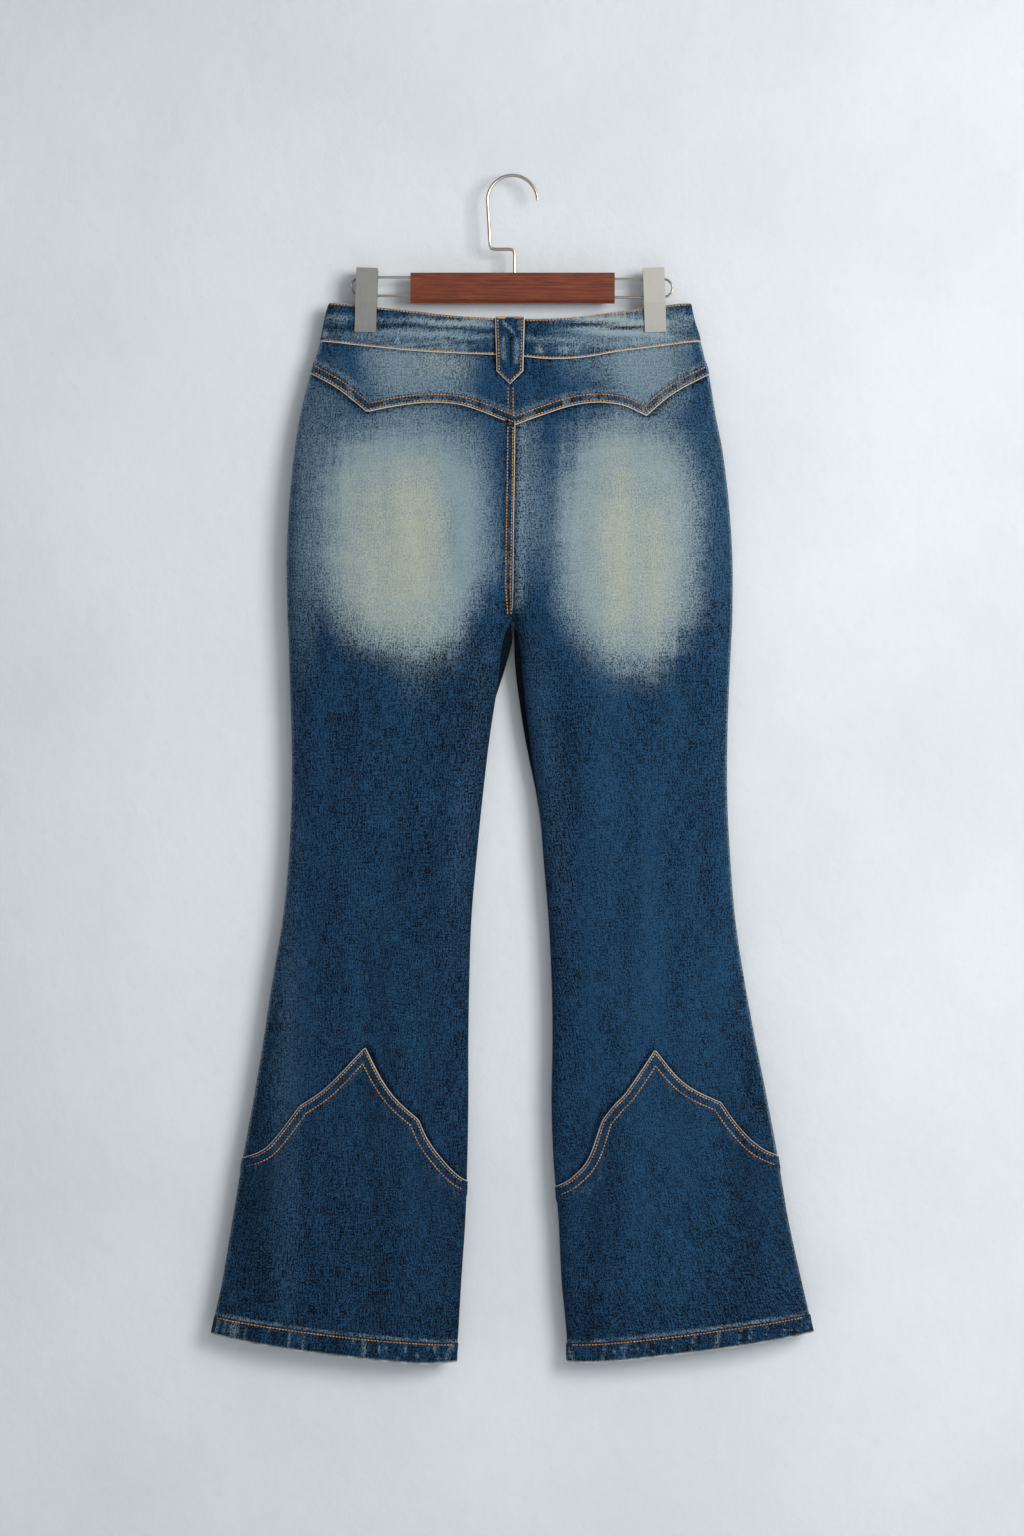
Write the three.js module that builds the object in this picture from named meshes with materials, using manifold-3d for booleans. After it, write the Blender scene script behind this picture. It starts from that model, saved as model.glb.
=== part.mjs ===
// Flared jeans, hung flat by the waistband from a clip hanger with a wooden bar.
// Millimetres. +Z is up. The back of the jeans faces -Y, and the front faces +Y.
// Left and right are the wearer's: -X is the left leg, +X is the right leg.
// The origin is the inner top of the hook, where it rests on a rail.
import * as THREE from 'three';
import { mergeVertices } from 'three/addons/utils/BufferGeometryUtils.js';
import Module from 'manifold-3d';

const wasm = await Module();
wasm.setup();

// Cloth sizes
const CLOTH = 1.5;
const DOUBLED = 2.4;
const PROUD = 0.9;
const SEAM = 0.3;
const LAP_WIDTH = 10;
const LAP_RISE = 0.8;
const FOLD_FADE = 0.3;
const ROUNDNESS = 2.8;

// Levels, as distances below the hook's rest
const CLOSING_START = 350;
const CROTCH = 443;
const PINCH_END = 165;
const FULL_DEPTH = 330;

// How the clips pinch the waist flat: half thickness of the two layers, and the loops between
const PINCHED = 1.85;
const MIDDLE_BOW = 5.5;
const SIDE_LOOP = 2.6;
const SIDE_ROUND = 6;
const GRIP = 13;

// Outline of the hanging jeans, a row for each level. The columns are the outer and inner edges of
// both legs and the depth of the back and the front. Above the crotch, in is the centre seam.
const outline = [
  { down: 120, leftOut: -181, leftIn: 3, rightIn: 3, rightOut: 177, back: 22, front: 12 },
  { down: 141, leftOut: -187, leftIn: 3, rightIn: 3, rightOut: 181, back: 22, front: 12 },
  { down: 165, leftOut: -192, leftIn: 3, rightIn: 3, rightOut: 188, back: 22, front: 12 },
  { down: 201, leftOut: -203, leftIn: 3, rightIn: 3, rightOut: 197, back: 23, front: 12 },
  { down: 237, leftOut: -212, leftIn: 3, rightIn: 3, rightOut: 203, back: 24, front: 12.5 },
  { down: 273, leftOut: -218, leftIn: 2.6, rightIn: 2.6, rightOut: 210, back: 26, front: 13 },
  { down: 321, leftOut: -223, leftIn: 2, rightIn: 2, rightOut: 216, back: 28, front: 13 },
  { down: 381, leftOut: -226, leftIn: 1, rightIn: 1, rightOut: 220, back: 28, front: 13 },
  { down: 443, leftOut: -225, leftIn: 0, rightIn: 0, rightOut: 220, back: 25, front: 12.5, corner: 'In' },
  { down: 463, leftOut: -224, leftIn: -9, rightIn: 6, rightOut: 219, back: 24, front: 12.5 },
  { down: 503, leftOut: -223, leftIn: -14, rightIn: 10, rightOut: 217, back: 22, front: 12 },
  { down: 563, leftOut: -221, leftIn: -23, rightIn: 17, rightOut: 215, back: 20, front: 12 },
  { down: 623, leftOut: -221, leftIn: -30, rightIn: 26, rightOut: 215, back: 19, front: 12 },
  { down: 683, leftOut: -224, leftIn: -36, rightIn: 31, rightOut: 218, back: 18, front: 12 },
  { down: 743, leftOut: -230, leftIn: -41, rightIn: 36, rightOut: 223, back: 17.5, front: 12 },
  { down: 803, leftOut: -240, leftIn: -43, rightIn: 39, rightOut: 232, back: 17, front: 12 },
  { down: 863, leftOut: -249, leftIn: -44, rightIn: 40, rightOut: 243, back: 17, front: 12.5 },
  { down: 923, leftOut: -259, leftIn: -44, rightIn: 39, rightOut: 255, back: 17, front: 13 },
  { down: 983, leftOut: -270, leftIn: -45, rightIn: 41, rightOut: 266, back: 17, front: 13 },
  { down: 1043, leftOut: -280, leftIn: -47, rightIn: 46, rightOut: 276, back: 17.5, front: 13.5 },
  { down: 1103, leftOut: -290, leftIn: -51, rightIn: 49, rightOut: 289, back: 18, front: 14 },
  { down: 1155, leftOut: -301, leftIn: -54, rightIn: 54, rightOut: 301, back: 18, front: 14 },
  { down: 1185, leftOut: -306, leftIn: -56, rightIn: 55, rightOut: 306, back: 18, front: 14 },
];

// Seam lines, from the left side of the body to the right. A corner is where the cloth is cut to
// an angle, and the line is smooth through every other point.
const waistTop = [
  { x: -195, down: 125 }, { x: -158, down: 128 }, { x: -96, down: 134.5 }, { x: -55, down: 139.5 },
  { x: 0, down: 142.5 }, { x: 51, down: 141.5 }, { x: 109, down: 134.5 }, { x: 153, down: 128.5 },
  { x: 195, down: 125 },
];
const waistBottom = [
  { x: -210, down: 162.3 }, { x: -192, down: 164.4 }, { x: -146, down: 169.3 },
  { x: -96, down: 174.3 }, { x: -47, down: 177.3 }, { x: 3, down: 179.5 }, { x: 34, down: 182.5 },
  { x: 67, down: 181.3 }, { x: 109, down: 174.3 }, { x: 188, down: 164.4 }, { x: 205, down: 162.3 },
];
const frontTop = [
  { x: -195, down: 125 }, { x: -150, down: 133 }, { x: -96, down: 150 }, { x: -48, down: 164 },
  { x: 0, down: 169 }, { x: 48, down: 164 }, { x: 96, down: 150 }, { x: 146, down: 133 },
  { x: 195, down: 125 },
];
const frontBottom = [
  { x: -210, down: 162.3 }, { x: -192, down: 164.4 }, { x: -150, down: 172 }, { x: -96, down: 189 },
  { x: -48, down: 202 }, { x: 0, down: 207 }, { x: 48, down: 202 }, { x: 96, down: 189 },
  { x: 146, down: 172 }, { x: 188, down: 164.4 }, { x: 205, down: 162.3 },
];
const yokeEdge = [
  { x: -215, down: 190 }, { x: -199, down: 198 }, { x: -172, down: 214 },
  { x: -145, down: 236, corner: true }, { x: -112, down: 229.5 }, { x: -80, down: 226.5 },
  { x: -48, down: 230 }, { x: 3, down: 249.5, corner: true }, { x: 29, down: 239.8 },
  { x: 59, down: 229.9 }, { x: 84, down: 226.5 }, { x: 110, down: 229.5 },
  { x: 133.5, down: 240, corner: true }, { x: 158, down: 219 }, { x: 197, down: 197.5 },
  { x: 215, down: 189 },
];
const calfLeft = [
  { x: -290, down: 985 }, { x: -269, down: 980 }, { x: -246, down: 970 }, { x: -230, down: 952 },
  { x: -212, down: 927.5, corner: true }, { x: -195, down: 916.5 }, { x: -180, down: 904 },
  { x: -146.5, down: 868.5, corner: true }, { x: -130, down: 901 }, { x: -115.5, down: 921 },
  { x: -93.5, down: 941, corner: true }, { x: -85, down: 960 }, { x: -71, down: 980 },
  { x: -55, down: 997 }, { x: -45, down: 1003.5 }, { x: -25, down: 1012 },
];
const calfRight = [
  { x: 25, down: 1016 }, { x: 43, down: 1009 }, { x: 61, down: 998 }, { x: 77, down: 978 },
  { x: 89.5, down: 941.5, corner: true }, { x: 101, down: 927 }, { x: 113.5, down: 913.5 },
  { x: 142, down: 871, corner: true }, { x: 162, down: 896 }, { x: 178, down: 909.5 },
  { x: 208, down: 924, corner: true }, { x: 222, down: 944 }, { x: 242, down: 965.5 },
  { x: 265, down: 978 }, { x: 285, down: 984 },
];
const hemTop = [
  { x: -315, down: 1136 }, { x: -298, down: 1138.5 }, { x: -232, down: 1148 }, { x: -162, down: 1157 },
  { x: -92, down: 1163.5 }, { x: -53, down: 1166 }, { x: 0, down: 1168, corner: true },
  { x: 53, down: 1166 }, { x: 92, down: 1163.5 }, { x: 160, down: 1156 }, { x: 232, down: 1146.5 },
  { x: 300, down: 1136.5 }, { x: 315, down: 1134 },
];
const hemBottom = [
  { x: -315, down: 1153 }, { x: -301, down: 1156 }, { x: -236, down: 1168 }, { x: -162, down: 1178 },
  { x: -92, down: 1185 }, { x: -56, down: 1184.5 }, { x: 0, down: 1184.5, corner: true },
  { x: 55, down: 1184.5 }, { x: 92, down: 1183 }, { x: 160, down: 1175.5 }, { x: 232, down: 1166 },
  { x: 301, down: 1154.5 }, { x: 315, down: 1152 },
];

// The largest folds, each a straight soft ridge (high > 0) or trough (high < 0) on one face
const folds = [
  { face: 'back', x1: 8, down1: 455, x2: 42, down2: 640, wide: 8, high: 2.2 },
  { face: 'back', x1: 38, down1: 470, x2: 74, down2: 700, wide: 14, high: -2.2 },
  { face: 'back', x1: 60, down1: 640, x2: 72, down2: 860, wide: 11, high: -1.4 },
  { face: 'back', x1: 190, down1: 560, x2: 194, down2: 800, wide: 10, high: -1.8 },
  { face: 'back', x1: -20, down1: 460, x2: -62, down2: 600, wide: 10, high: -2.0 },
  { face: 'back', x1: -42, down1: 570, x2: -66, down2: 760, wide: 12, high: 1.6 },
  { face: 'back', x1: -110, down1: 560, x2: -112, down2: 820, wide: 16, high: -1.2 },
  { face: 'back', x1: -192, down1: 600, x2: -205, down2: 820, wide: 12, high: -1.2 },
  { face: 'back', x1: -30, down1: 260, x2: -26, down2: 400, wide: 14, high: -1.6 },
  { face: 'back', x1: 34, down1: 260, x2: 30, down2: 400, wide: 14, high: -1.6 },
  { face: 'front', x1: -16, down1: 400, x2: -120, down2: 350, wide: 10, high: -1.6 },
  { face: 'front', x1: 18, down1: 402, x2: 118, down2: 346, wide: 10, high: -1.6 },
  { face: 'front', x1: -60, down1: 520, x2: -82, down2: 800, wide: 14, high: -1.4 },
  { face: 'front', x1: 62, down1: 520, x2: 86, down2: 820, wide: 14, high: -1.4 },
  { face: 'front', x1: -150, down1: 560, x2: -168, down2: 980, wide: 18, high: 1.2 },
  { face: 'front', x1: 148, down1: 560, x2: 166, down2: 980, wide: 18, high: 1.2 },
];

// Places across a half of the jeans, from the side seam at -1 to the centre or inner leg at 1. The
// back has one at each angle of its seams: the drop of the yoke, and three on the calf seam.
const yokeDrop = { left: -0.38, right: -0.31 };
const acrossBack = (side) => [
  -1, -0.985, -0.94, -0.84, -0.7, -0.555, yokeDrop[side], -0.18, 0, 0.2, 0.38, 0.55, 0.72, 0.86,
  0.95, 0.988, 1,
];
const acrossFront = [-1, -0.985, -0.94, -0.82, -0.62, -0.36, -0.08, 0.2, 0.46, 0.68, 0.84, 0.95, 0.988, 1];

// Belt loop, fly and button
const LOOP = { left: -17, right: 12, top: 140.5, shoulder: 195, tip: 208.5, leavesBand: 181, onYoke: 190, bulge: 1.6, thick: 1.5 };
const FLY = { wide: 38, straight: 60, bottom: 352, thick: 1.0, lift: 0.7 };
const BUTTON = { x: -11, down: 188, radius: 8.5, rise: 3.2 };

// Hanger
const BAR = { length: 204, middle: 0.2, top: 96.3, tall: 30, thick: 12, edge: 1.2, chamfer: 3 };
const HOOK = { wire: 1.7, bend: 25, arcEnd: 188, neck: -22, lean: 0.4, knee: 72.2, turn: 4, stem: 2.2, sink: 14 };
const RAIL = { wire: 1.25, sink: 24, leftEnd: -161.6, rightEnd: 160.2, gap: 18.4 };
const railTop = { left: 100.3, right: 101.9 };
const clipAt = { left: -146, right: 142 };
const clipTilt = { left: 1.7, right: -2.0 };
const CLIP = { wide: 21.4, top: 91.6, bottom: 155.6, thick: 1.4, shoulder: 6.6, lip: 3.6, grip: 149, bend: 126 };
const SADDLE = { wide: 15, top: 95.5, bottom: 124, clear: 0.35 };

// Finishes
const finishes = {
  denim: { color: 0x274a6b, roughness: 0.88, metalness: 0 },
  wood: { color: 0x76432f, roughness: 0.5, metalness: 0 },
  metal: { color: 0xb9b8b2, roughness: 0.35, metalness: 1 },
};

function makeMesh(name, geometry, finish) {
  const material = new THREE.MeshStandardMaterial(finishes[finish]);
  const mesh = new THREE.Mesh(geometry, material);
  mesh.name = name;
  return mesh;
}

const mix = THREE.MathUtils.lerp;
const clamp = THREE.MathUtils.clamp;
const smoothstep = THREE.MathUtils.smoothstep;

// Value of one column of a table at a place between its rows. It is smooth except at a corner,
// which is true for every column or names the end of the columns that turn there.
function readTable(rows, place, column, at) {
  const sharp = (row) => row.corner === true || (row.corner && column.endsWith(row.corner));
  let i = 0;
  while (i < rows.length - 2 && rows[i + 1][place] < at) i += 1;
  const low = rows[i];
  const high = rows[i + 1];
  const span = high[place] - low[place];
  const own = (high[column] - low[column]) / span;
  const before = rows[i - 1];
  const after = rows[i + 2];
  const slopeIn = before && !sharp(low) ? (high[column] - before[column]) / (high[place] - before[place]) : own;
  const slopeOut = after && !sharp(high) ? (after[column] - low[column]) / (after[place] - low[place]) : own;
  const t = clamp((at - low[place]) / span, -0.5, 1.5);
  const rest = 1 - t;
  return (
    low[column] * rest * rest * (1 + 2 * t)
    + high[column] * t * t * (1 + 2 * rest)
    + slopeIn * span * t * rest * rest
    - slopeOut * span * t * t * rest
  );
}

function lineAt(line, x) {
  return readTable(line, 'x', 'down', x);
}

// Half the seam gap, measured down the cloth where the seam line runs at a slope
function seamHalf(line, x) {
  const slope = (lineAt(line, x + 1) - lineAt(line, x - 1)) / 2;
  return (SEAM / 2) * Math.hypot(1, slope);
}

const aboveSeam = (line) => (x) => lineAt(line, x) - seamHalf(line, x);
const belowSeam = (line) => (x) => lineAt(line, x) + seamHalf(line, x);

// How far the centre still stands open: 1 in the seat, 0 from the crotch down
function openness(down) {
  const t = clamp((down - CLOSING_START) / (CROTCH - CLOSING_START), 0, 1);
  return Math.sqrt(1 - t * t);
}

function foldHeight(face, x, down) {
  let height = 0;
  for (const fold of folds) {
    if (fold.face === face) {
      const runX = fold.x2 - fold.x1;
      const runDown = fold.down2 - fold.down1;
      const length = Math.hypot(runX, runDown);
      const along = ((x - fold.x1) * runX + (down - fold.down1) * runDown) / length;
      const aside = ((x - fold.x1) * runDown - (down - fold.down1) * runX) / length;
      const fade = length * FOLD_FADE;
      const ends = smoothstep(along, 0, fade) * smoothstep(length - along, 0, fade);
      height += fold.high * ends * Math.exp(-((aside / fold.wide) ** 2));
    }
  }
  return height;
}

// Depth of the cloth at the waist, where it is held flat by the clips
function waistDepth(side, x, out) {
  const reach = Math.abs(x);
  const grip = Math.abs(clipAt[side]);
  if (reach < grip - GRIP) {
    const t = reach / (grip - GRIP);
    return PINCHED + MIDDLE_BOW * Math.cos((Math.PI * t) / 2) ** 2;
  }
  if (reach < grip + GRIP) return PINCHED;
  const t = clamp((reach - grip - GRIP) / (Math.abs(out) - grip - GRIP), 0, 1);
  return PINCHED + SIDE_LOOP * Math.sin(Math.PI * t) ** 2;
}

// A point of the cloth: side left or right, face back or front, place across from -1 to 1, level,
// distance out from the face of a single panel, and half the gap left open at the side seams
function clothPoint(side, face, place, down, off, gap = SEAM / 2) {
  const sign = side === 'left' ? -1 : 1;
  const open = openness(down);
  const out = readTable(outline, 'down', `${side}Out`, down) + sign * off;
  const closed = Math.sqrt(1 - open * open);
  const inner = readTable(outline, 'down', `${side}In`, down) - sign * off * closed + sign * SEAM / 2;
  const x = mix(out, inner, (place + 1) / 2);
  const power = Math.abs(place) ** ROUNDNESS;
  const round = Math.sqrt(1 - (place > 0 ? (1 - open * open) * power : power));
  const full = readTable(outline, 'down', face, down) + off;
  const edge = clamp(Math.abs(out - x) / (SIDE_ROUND + off), 0, 1);
  const pinched = (waistDepth(side, x, out) + off) * Math.sqrt(1 - (1 - edge) ** 2);
  const fullness = smoothstep(down, PINCH_END, FULL_DEPTH);
  const fold = foldHeight(face, x, down) * Math.min(1, round * 1.2) * fullness;
  const depth = mix(pinched, full * round, fullness) + fold * round;
  const y = gap + Math.max(0, depth - gap);
  return new THREE.Vector3(x, face === 'back' ? -y : y, -down);
}

// The level where a place across the cloth meets a line drawn over it
function levelOn(side, face, place, line) {
  let down = line(clothPoint(side, face, place, CROTCH, 0).x);
  for (let pass = 0; pass < 12; pass += 1) down = line(clothPoint(side, face, place, down, 0).x);
  return down;
}

// One closed solid between two grids of points of the same size. A grid is a list of rows, and in
// a ring the end of each row joins its start.
function wallGeometry(outer, inner, ring = false) {
  const rows = outer.length;
  const columns = outer[0].length;
  const points = [...outer.flat(), ...inner.flat()];
  const corner = (layer, row, column) => (layer * rows + row) * columns + (column % columns);
  const faces = [];
  const quad = (a, b, c, d) => faces.push(a, b, c, a, c, d);
  const steps = ring ? columns : columns - 1;
  for (let row = 0; row < rows - 1; row += 1) {
    for (let i = 0; i < steps; i += 1) {
      quad(corner(0, row, i), corner(0, row + 1, i), corner(0, row + 1, i + 1), corner(0, row, i + 1));
      quad(corner(1, row, i), corner(1, row, i + 1), corner(1, row + 1, i + 1), corner(1, row + 1, i));
    }
    if (!ring) {
      const last = columns - 1;
      quad(corner(0, row, 0), corner(1, row, 0), corner(1, row + 1, 0), corner(0, row + 1, 0));
      quad(corner(0, row, last), corner(0, row + 1, last), corner(1, row + 1, last), corner(1, row, last));
    }
  }
  const bottom = rows - 1;
  for (let i = 0; i < steps; i += 1) {
    quad(corner(0, 0, i), corner(0, 0, i + 1), corner(1, 0, i + 1), corner(1, 0, i));
    quad(corner(0, bottom, i), corner(1, bottom, i), corner(1, bottom, i + 1), corner(0, bottom, i + 1));
  }
  return facingOut(points, faces);
}

function facingOut(points, faces) {
  let volume = 0;
  for (let i = 0; i < faces.length; i += 3) {
    const [a, b, c] = [points[faces[i]], points[faces[i + 1]], points[faces[i + 2]]];
    volume += a.dot(new THREE.Vector3().crossVectors(b, c));
  }
  const geometry = new THREE.BufferGeometry().setFromPoints(points);
  geometry.setIndex(volume > 0 ? faces : faces.slice().reverse());
  geometry.computeVertexNormals();
  return geometry;
}

// A panel between an upper and a lower line. The stops are shares of its height, or of the heights
// above and below a level that all of its columns share.
function panelGeometry({ side, face, places, top, bottom, stops, level, lowerStops, rise, thick = CLOTH }) {
  const outer = [];
  const inner = [];
  const heights = [...stops];
  if (level) heights.push(...lowerStops.map((stop) => stop + 1));
  for (const height of heights) {
    const outerRow = [];
    const innerRow = [];
    for (const place of places) {
      const start = levelOn(side, face, place, top);
      const end = levelOn(side, face, place, bottom);
      const turn = level ?? end;
      const down = height <= 1 ? mix(start, turn, height) : mix(turn, end, height - 1);
      const lift = rise ? rise(down - start, end - down) : 0;
      outerRow.push(clothPoint(side, face, place, down, lift));
      innerRow.push(clothPoint(side, face, place, down, lift - thick));
    }
    outer.push(outerRow);
    inner.push(innerRow);
  }
  return wallGeometry(outer, inner);
}

const evenStops = (count) => Array.from({ length: count + 1 }, (_, i) => i / count);

function waistband(side) {
  const outer = [];
  const inner = [];
  const faces = { back: [waistTop, waistBottom], front: [frontTop, frontBottom] };
  for (const stop of [0, 0.5, 1]) {
    const outerRow = [];
    const innerRow = [];
    for (const [face, [top, bottom]] of Object.entries(faces)) {
      const across = acrossBack(side);
      const places = face === 'back' ? across.slice(1).reverse() : across;
      for (const place of places) {
        const start = levelOn(side, face, place, (x) => lineAt(top, x));
        const end = levelOn(side, face, place, aboveSeam(bottom));
        const down = mix(start, end, stop);
        outerRow.push(clothPoint(side, face, place, down, PROUD, 0));
        innerRow.push(clothPoint(side, face, place, down, PROUD - DOUBLED, 0));
      }
    }
    outer.push(outerRow);
    inner.push(innerRow);
  }
  return makeMesh(`waistband_${side}`, wallGeometry(outer, inner), 'denim');
}

function yoke(side) {
  const geometry = panelGeometry({
    side,
    face: 'back',
    places: acrossBack(side),
    top: belowSeam(waistBottom),
    bottom: aboveSeam(yokeEdge),
    stops: [0, 0.4, 0.72, 0.86, 1],
    rise: (fromTop, fromBottom) => (fromBottom < LAP_WIDTH ? LAP_RISE : 0),
  });
  return makeMesh(`yoke_${side}`, geometry, 'denim');
}

function backPanel(side) {
  const geometry = panelGeometry({
    side,
    face: 'back',
    places: acrossBack(side),
    top: belowSeam(yokeEdge),
    bottom: aboveSeam(side === 'left' ? calfLeft : calfRight),
    stops: [0, 0.2, 0.4, 0.55, 0.68, 0.8, 0.89, 0.95, 1],
    level: CROTCH,
    lowerStops: [0.04, 0.12, 0.24, 0.38, 0.52, 0.66, 0.8, 0.9, 1],
  });
  return makeMesh(`back_${side}`, geometry, 'denim');
}

function flarePanel(side) {
  const geometry = panelGeometry({
    side,
    face: 'back',
    places: acrossBack(side),
    top: belowSeam(side === 'left' ? calfLeft : calfRight),
    bottom: aboveSeam(hemTop),
    stops: [0, 0.05, 0.09, 0.2, 0.32, 0.44, 0.56, 0.68, 0.8, 0.9, 1],
    rise: (fromTop) => (fromTop < LAP_WIDTH * 1.3 ? LAP_RISE : 0),
  });
  return makeMesh(`flare_back_${side}`, geometry, 'denim');
}

function frontPanel(side) {
  const geometry = panelGeometry({
    side,
    face: 'front',
    places: acrossFront,
    top: belowSeam(frontBottom),
    bottom: aboveSeam(hemTop),
    stops: [0, 0.2, 0.4, 0.55, 0.68, 0.8, 0.89, 0.95, 1],
    level: CROTCH,
    lowerStops: [0.03, 0.08, 0.16, 0.25, 0.35, 0.45, 0.55, 0.66, 0.78, 0.9, 1],
  });
  return makeMesh(`front_${side}`, geometry, 'denim');
}

function hem(side) {
  const outer = [];
  const inner = [];
  for (const stop of [0, 0.5, 1]) {
    const outerRow = [];
    const innerRow = [];
    for (const face of ['back', 'front']) {
      const across = acrossBack(side);
      const places = face === 'back' ? across.slice(1).reverse() : across.slice(0, -1);
      for (const place of places) {
        const start = levelOn(side, face, place, belowSeam(hemTop));
        const end = levelOn(side, face, place, (x) => lineAt(hemBottom, x));
        const down = mix(start, end, stop);
        outerRow.push(clothPoint(side, face, place, down, PROUD, 0));
        innerRow.push(clothPoint(side, face, place, down, PROUD - DOUBLED, 0));
      }
    }
    outer.push(outerRow);
    inner.push(innerRow);
  }
  return makeMesh(`hem_${side}`, wallGeometry(outer, inner, true), 'denim');
}

// A point on the outside of the jeans above the crotch, at a given x
function surfacePoint(face, x, down, off) {
  const centre = readTable(outline, 'down', 'leftIn', down);
  const side = x < centre ? 'left' : 'right';
  const out = readTable(outline, 'down', `${side}Out`, down);
  const place = clamp((2 * (x - out)) / (centre - out) - 1, -1, 1);
  const point = clothPoint(side, face, place, down, off);
  return new THREE.Vector3(x, point.y, -down);
}

// A strip of cloth that lies on the jeans between two upright edges
function stripGeometry({ face, xs, top, bottom, stops, lift, thick }) {
  const layer = (extra) => stops.map((stop) => xs.map((x) => {
    const down = mix(top(x), bottom(x), stop);
    return surfacePoint(face, x, down, lift(down, stop) + extra);
  }));
  return wallGeometry(layer(thick), layer(0));
}

function beltLoop() {
  const { left, right, top, shoulder, tip, leavesBand, onYoke, bulge, thick } = LOOP;
  const middle = (left + right) / 2;
  const half = (right - left) / 2;
  const geometry = stripGeometry({
    face: 'back',
    xs: [left, mix(left, middle, 0.5), middle, mix(middle, right, 0.5), right],
    top: () => top,
    bottom: (x) => mix(tip, shoulder, Math.abs(x - middle) / half),
    stops: [0, 0.08, 0.25, 0.45, 0.6, 0.72, 0.82, 0.92, 1],
    lift: (down, stop) => {
      const onBand = PROUD * (1 - smoothstep(down, leavesBand, onYoke));
      return SEAM + onBand + bulge * Math.sin(Math.PI * clamp(stop, 0, 1)) ** 2;
    },
    thick,
  });
  return makeMesh('belt_loop', geometry, 'denim');
}

function fly() {
  const { wide, straight, bottom, thick, lift } = FLY;
  const bend = frontBottom.find((row) => row.x === 0).down + straight;
  const geometry = stripGeometry({
    face: 'front',
    xs: [-wide, -0.8 * wide, -0.55 * wide, -0.3 * wide, -0.12 * wide, 1],
    top: (x) => belowSeam(frontBottom)(x) + SEAM,
    bottom: (x) => mix(bend, bottom, Math.sqrt(1 - (x / wide) ** 2)),
    stops: evenStops(7),
    lift: () => lift,
    thick,
  });
  return makeMesh('fly', geometry, 'denim');
}

function button() {
  const { x, down, radius, rise } = BUTTON;
  const profile = [
    [0, 0], [radius - 2, 0], [radius - 0.6, 0.6], [radius, 1.5], [radius - 0.8, 2.5],
    [radius - 2.4, 2.7], [radius - 3.2, 2.3], [3, 2.5], [2, rise], [0, rise],
  ];
  const geometry = new THREE.LatheGeometry(profile.map(([r, h]) => new THREE.Vector2(r, h)), 24);
  const mesh = makeMesh('button', geometry, 'metal');
  mesh.position.copy(surfacePoint('front', x, down, PROUD + SEAM));
  return mesh;
}

function pathLine(x1, z1, x2, z2) {
  return new THREE.LineCurve3(new THREE.Vector3(x1, 0, z1), new THREE.Vector3(x2, 0, z2));
}

function pathBend(from, through, to) {
  const at = ([x, z]) => new THREE.Vector3(x, 0, z);
  return new THREE.QuadraticBezierCurve3(at(from), at(through), at(to));
}

class FlatArc extends THREE.Curve {
  constructor(x, z, radius, start, end) {
    super();
    Object.assign(this, { x, z, radius, start, end });
  }

  getPoint(t, target = new THREE.Vector3()) {
    const angle = THREE.MathUtils.degToRad(mix(this.start, this.end, t));
    return target.set(this.x + this.radius * Math.cos(angle), 0, this.z + this.radius * Math.sin(angle));
  }
}

function wireGeometry(curves, radius, steps, halfSides) {
  const path = new THREE.CurvePath();
  curves.forEach((curve) => path.add(curve));
  const section = new THREE.Shape().absarc(0, 0, radius, 0, 2 * Math.PI);
  return new THREE.ExtrudeGeometry(section, {
    steps, extrudePath: path, bevelEnabled: false, curveSegments: halfSides,
  });
}

// Solids for joining and cutting
function solidFrom(geometry) {
  const plain = geometry.clone();
  plain.deleteAttribute('normal');
  plain.deleteAttribute('uv');
  const merged = mergeVertices(plain, 1e-4);
  return new wasm.Manifold(new wasm.Mesh({
    numProp: 3,
    vertProperties: new Float32Array(merged.attributes.position.array),
    triVerts: new Uint32Array(merged.index.array),
  }));
}

function geometryFrom(solid) {
  const mesh = solid.getMesh();
  const geometry = new THREE.BufferGeometry();
  geometry.setAttribute('position', new THREE.BufferAttribute(mesh.vertProperties, 3));
  geometry.setIndex(new THREE.BufferAttribute(mesh.triVerts, 1));
  geometry.computeVertexNormals();
  return geometry;
}

// A round cutter between two places along an axis
function drill(radius, axis, from, to, place) {
  const length = Math.abs(to - from);
  const cutter = new THREE.CylinderGeometry(radius, radius, length, 16);
  if (axis === 'x') cutter.rotateZ(Math.PI / 2);
  if (axis === 'z') cutter.rotateX(Math.PI / 2);
  const middle = (from + to) / 2;
  const offset = { x: [middle, 0, place], z: [place, 0, middle] }[axis];
  cutter.translate(...offset);
  return solidFrom(cutter);
}

// A prism along X from an outline drawn across it, in y and z
function prismAlongX(outlinePoints, length, middle) {
  const shape = new THREE.Shape(outlinePoints.map(([y, z]) => new THREE.Vector2(y, z)));
  const geometry = new THREE.ExtrudeGeometry(shape, { depth: length, bevelEnabled: false });
  geometry.rotateY(Math.PI / 2);
  geometry.rotateX(Math.PI / 2);
  geometry.translate(middle - length / 2, 0, 0);
  return geometry;
}

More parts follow.
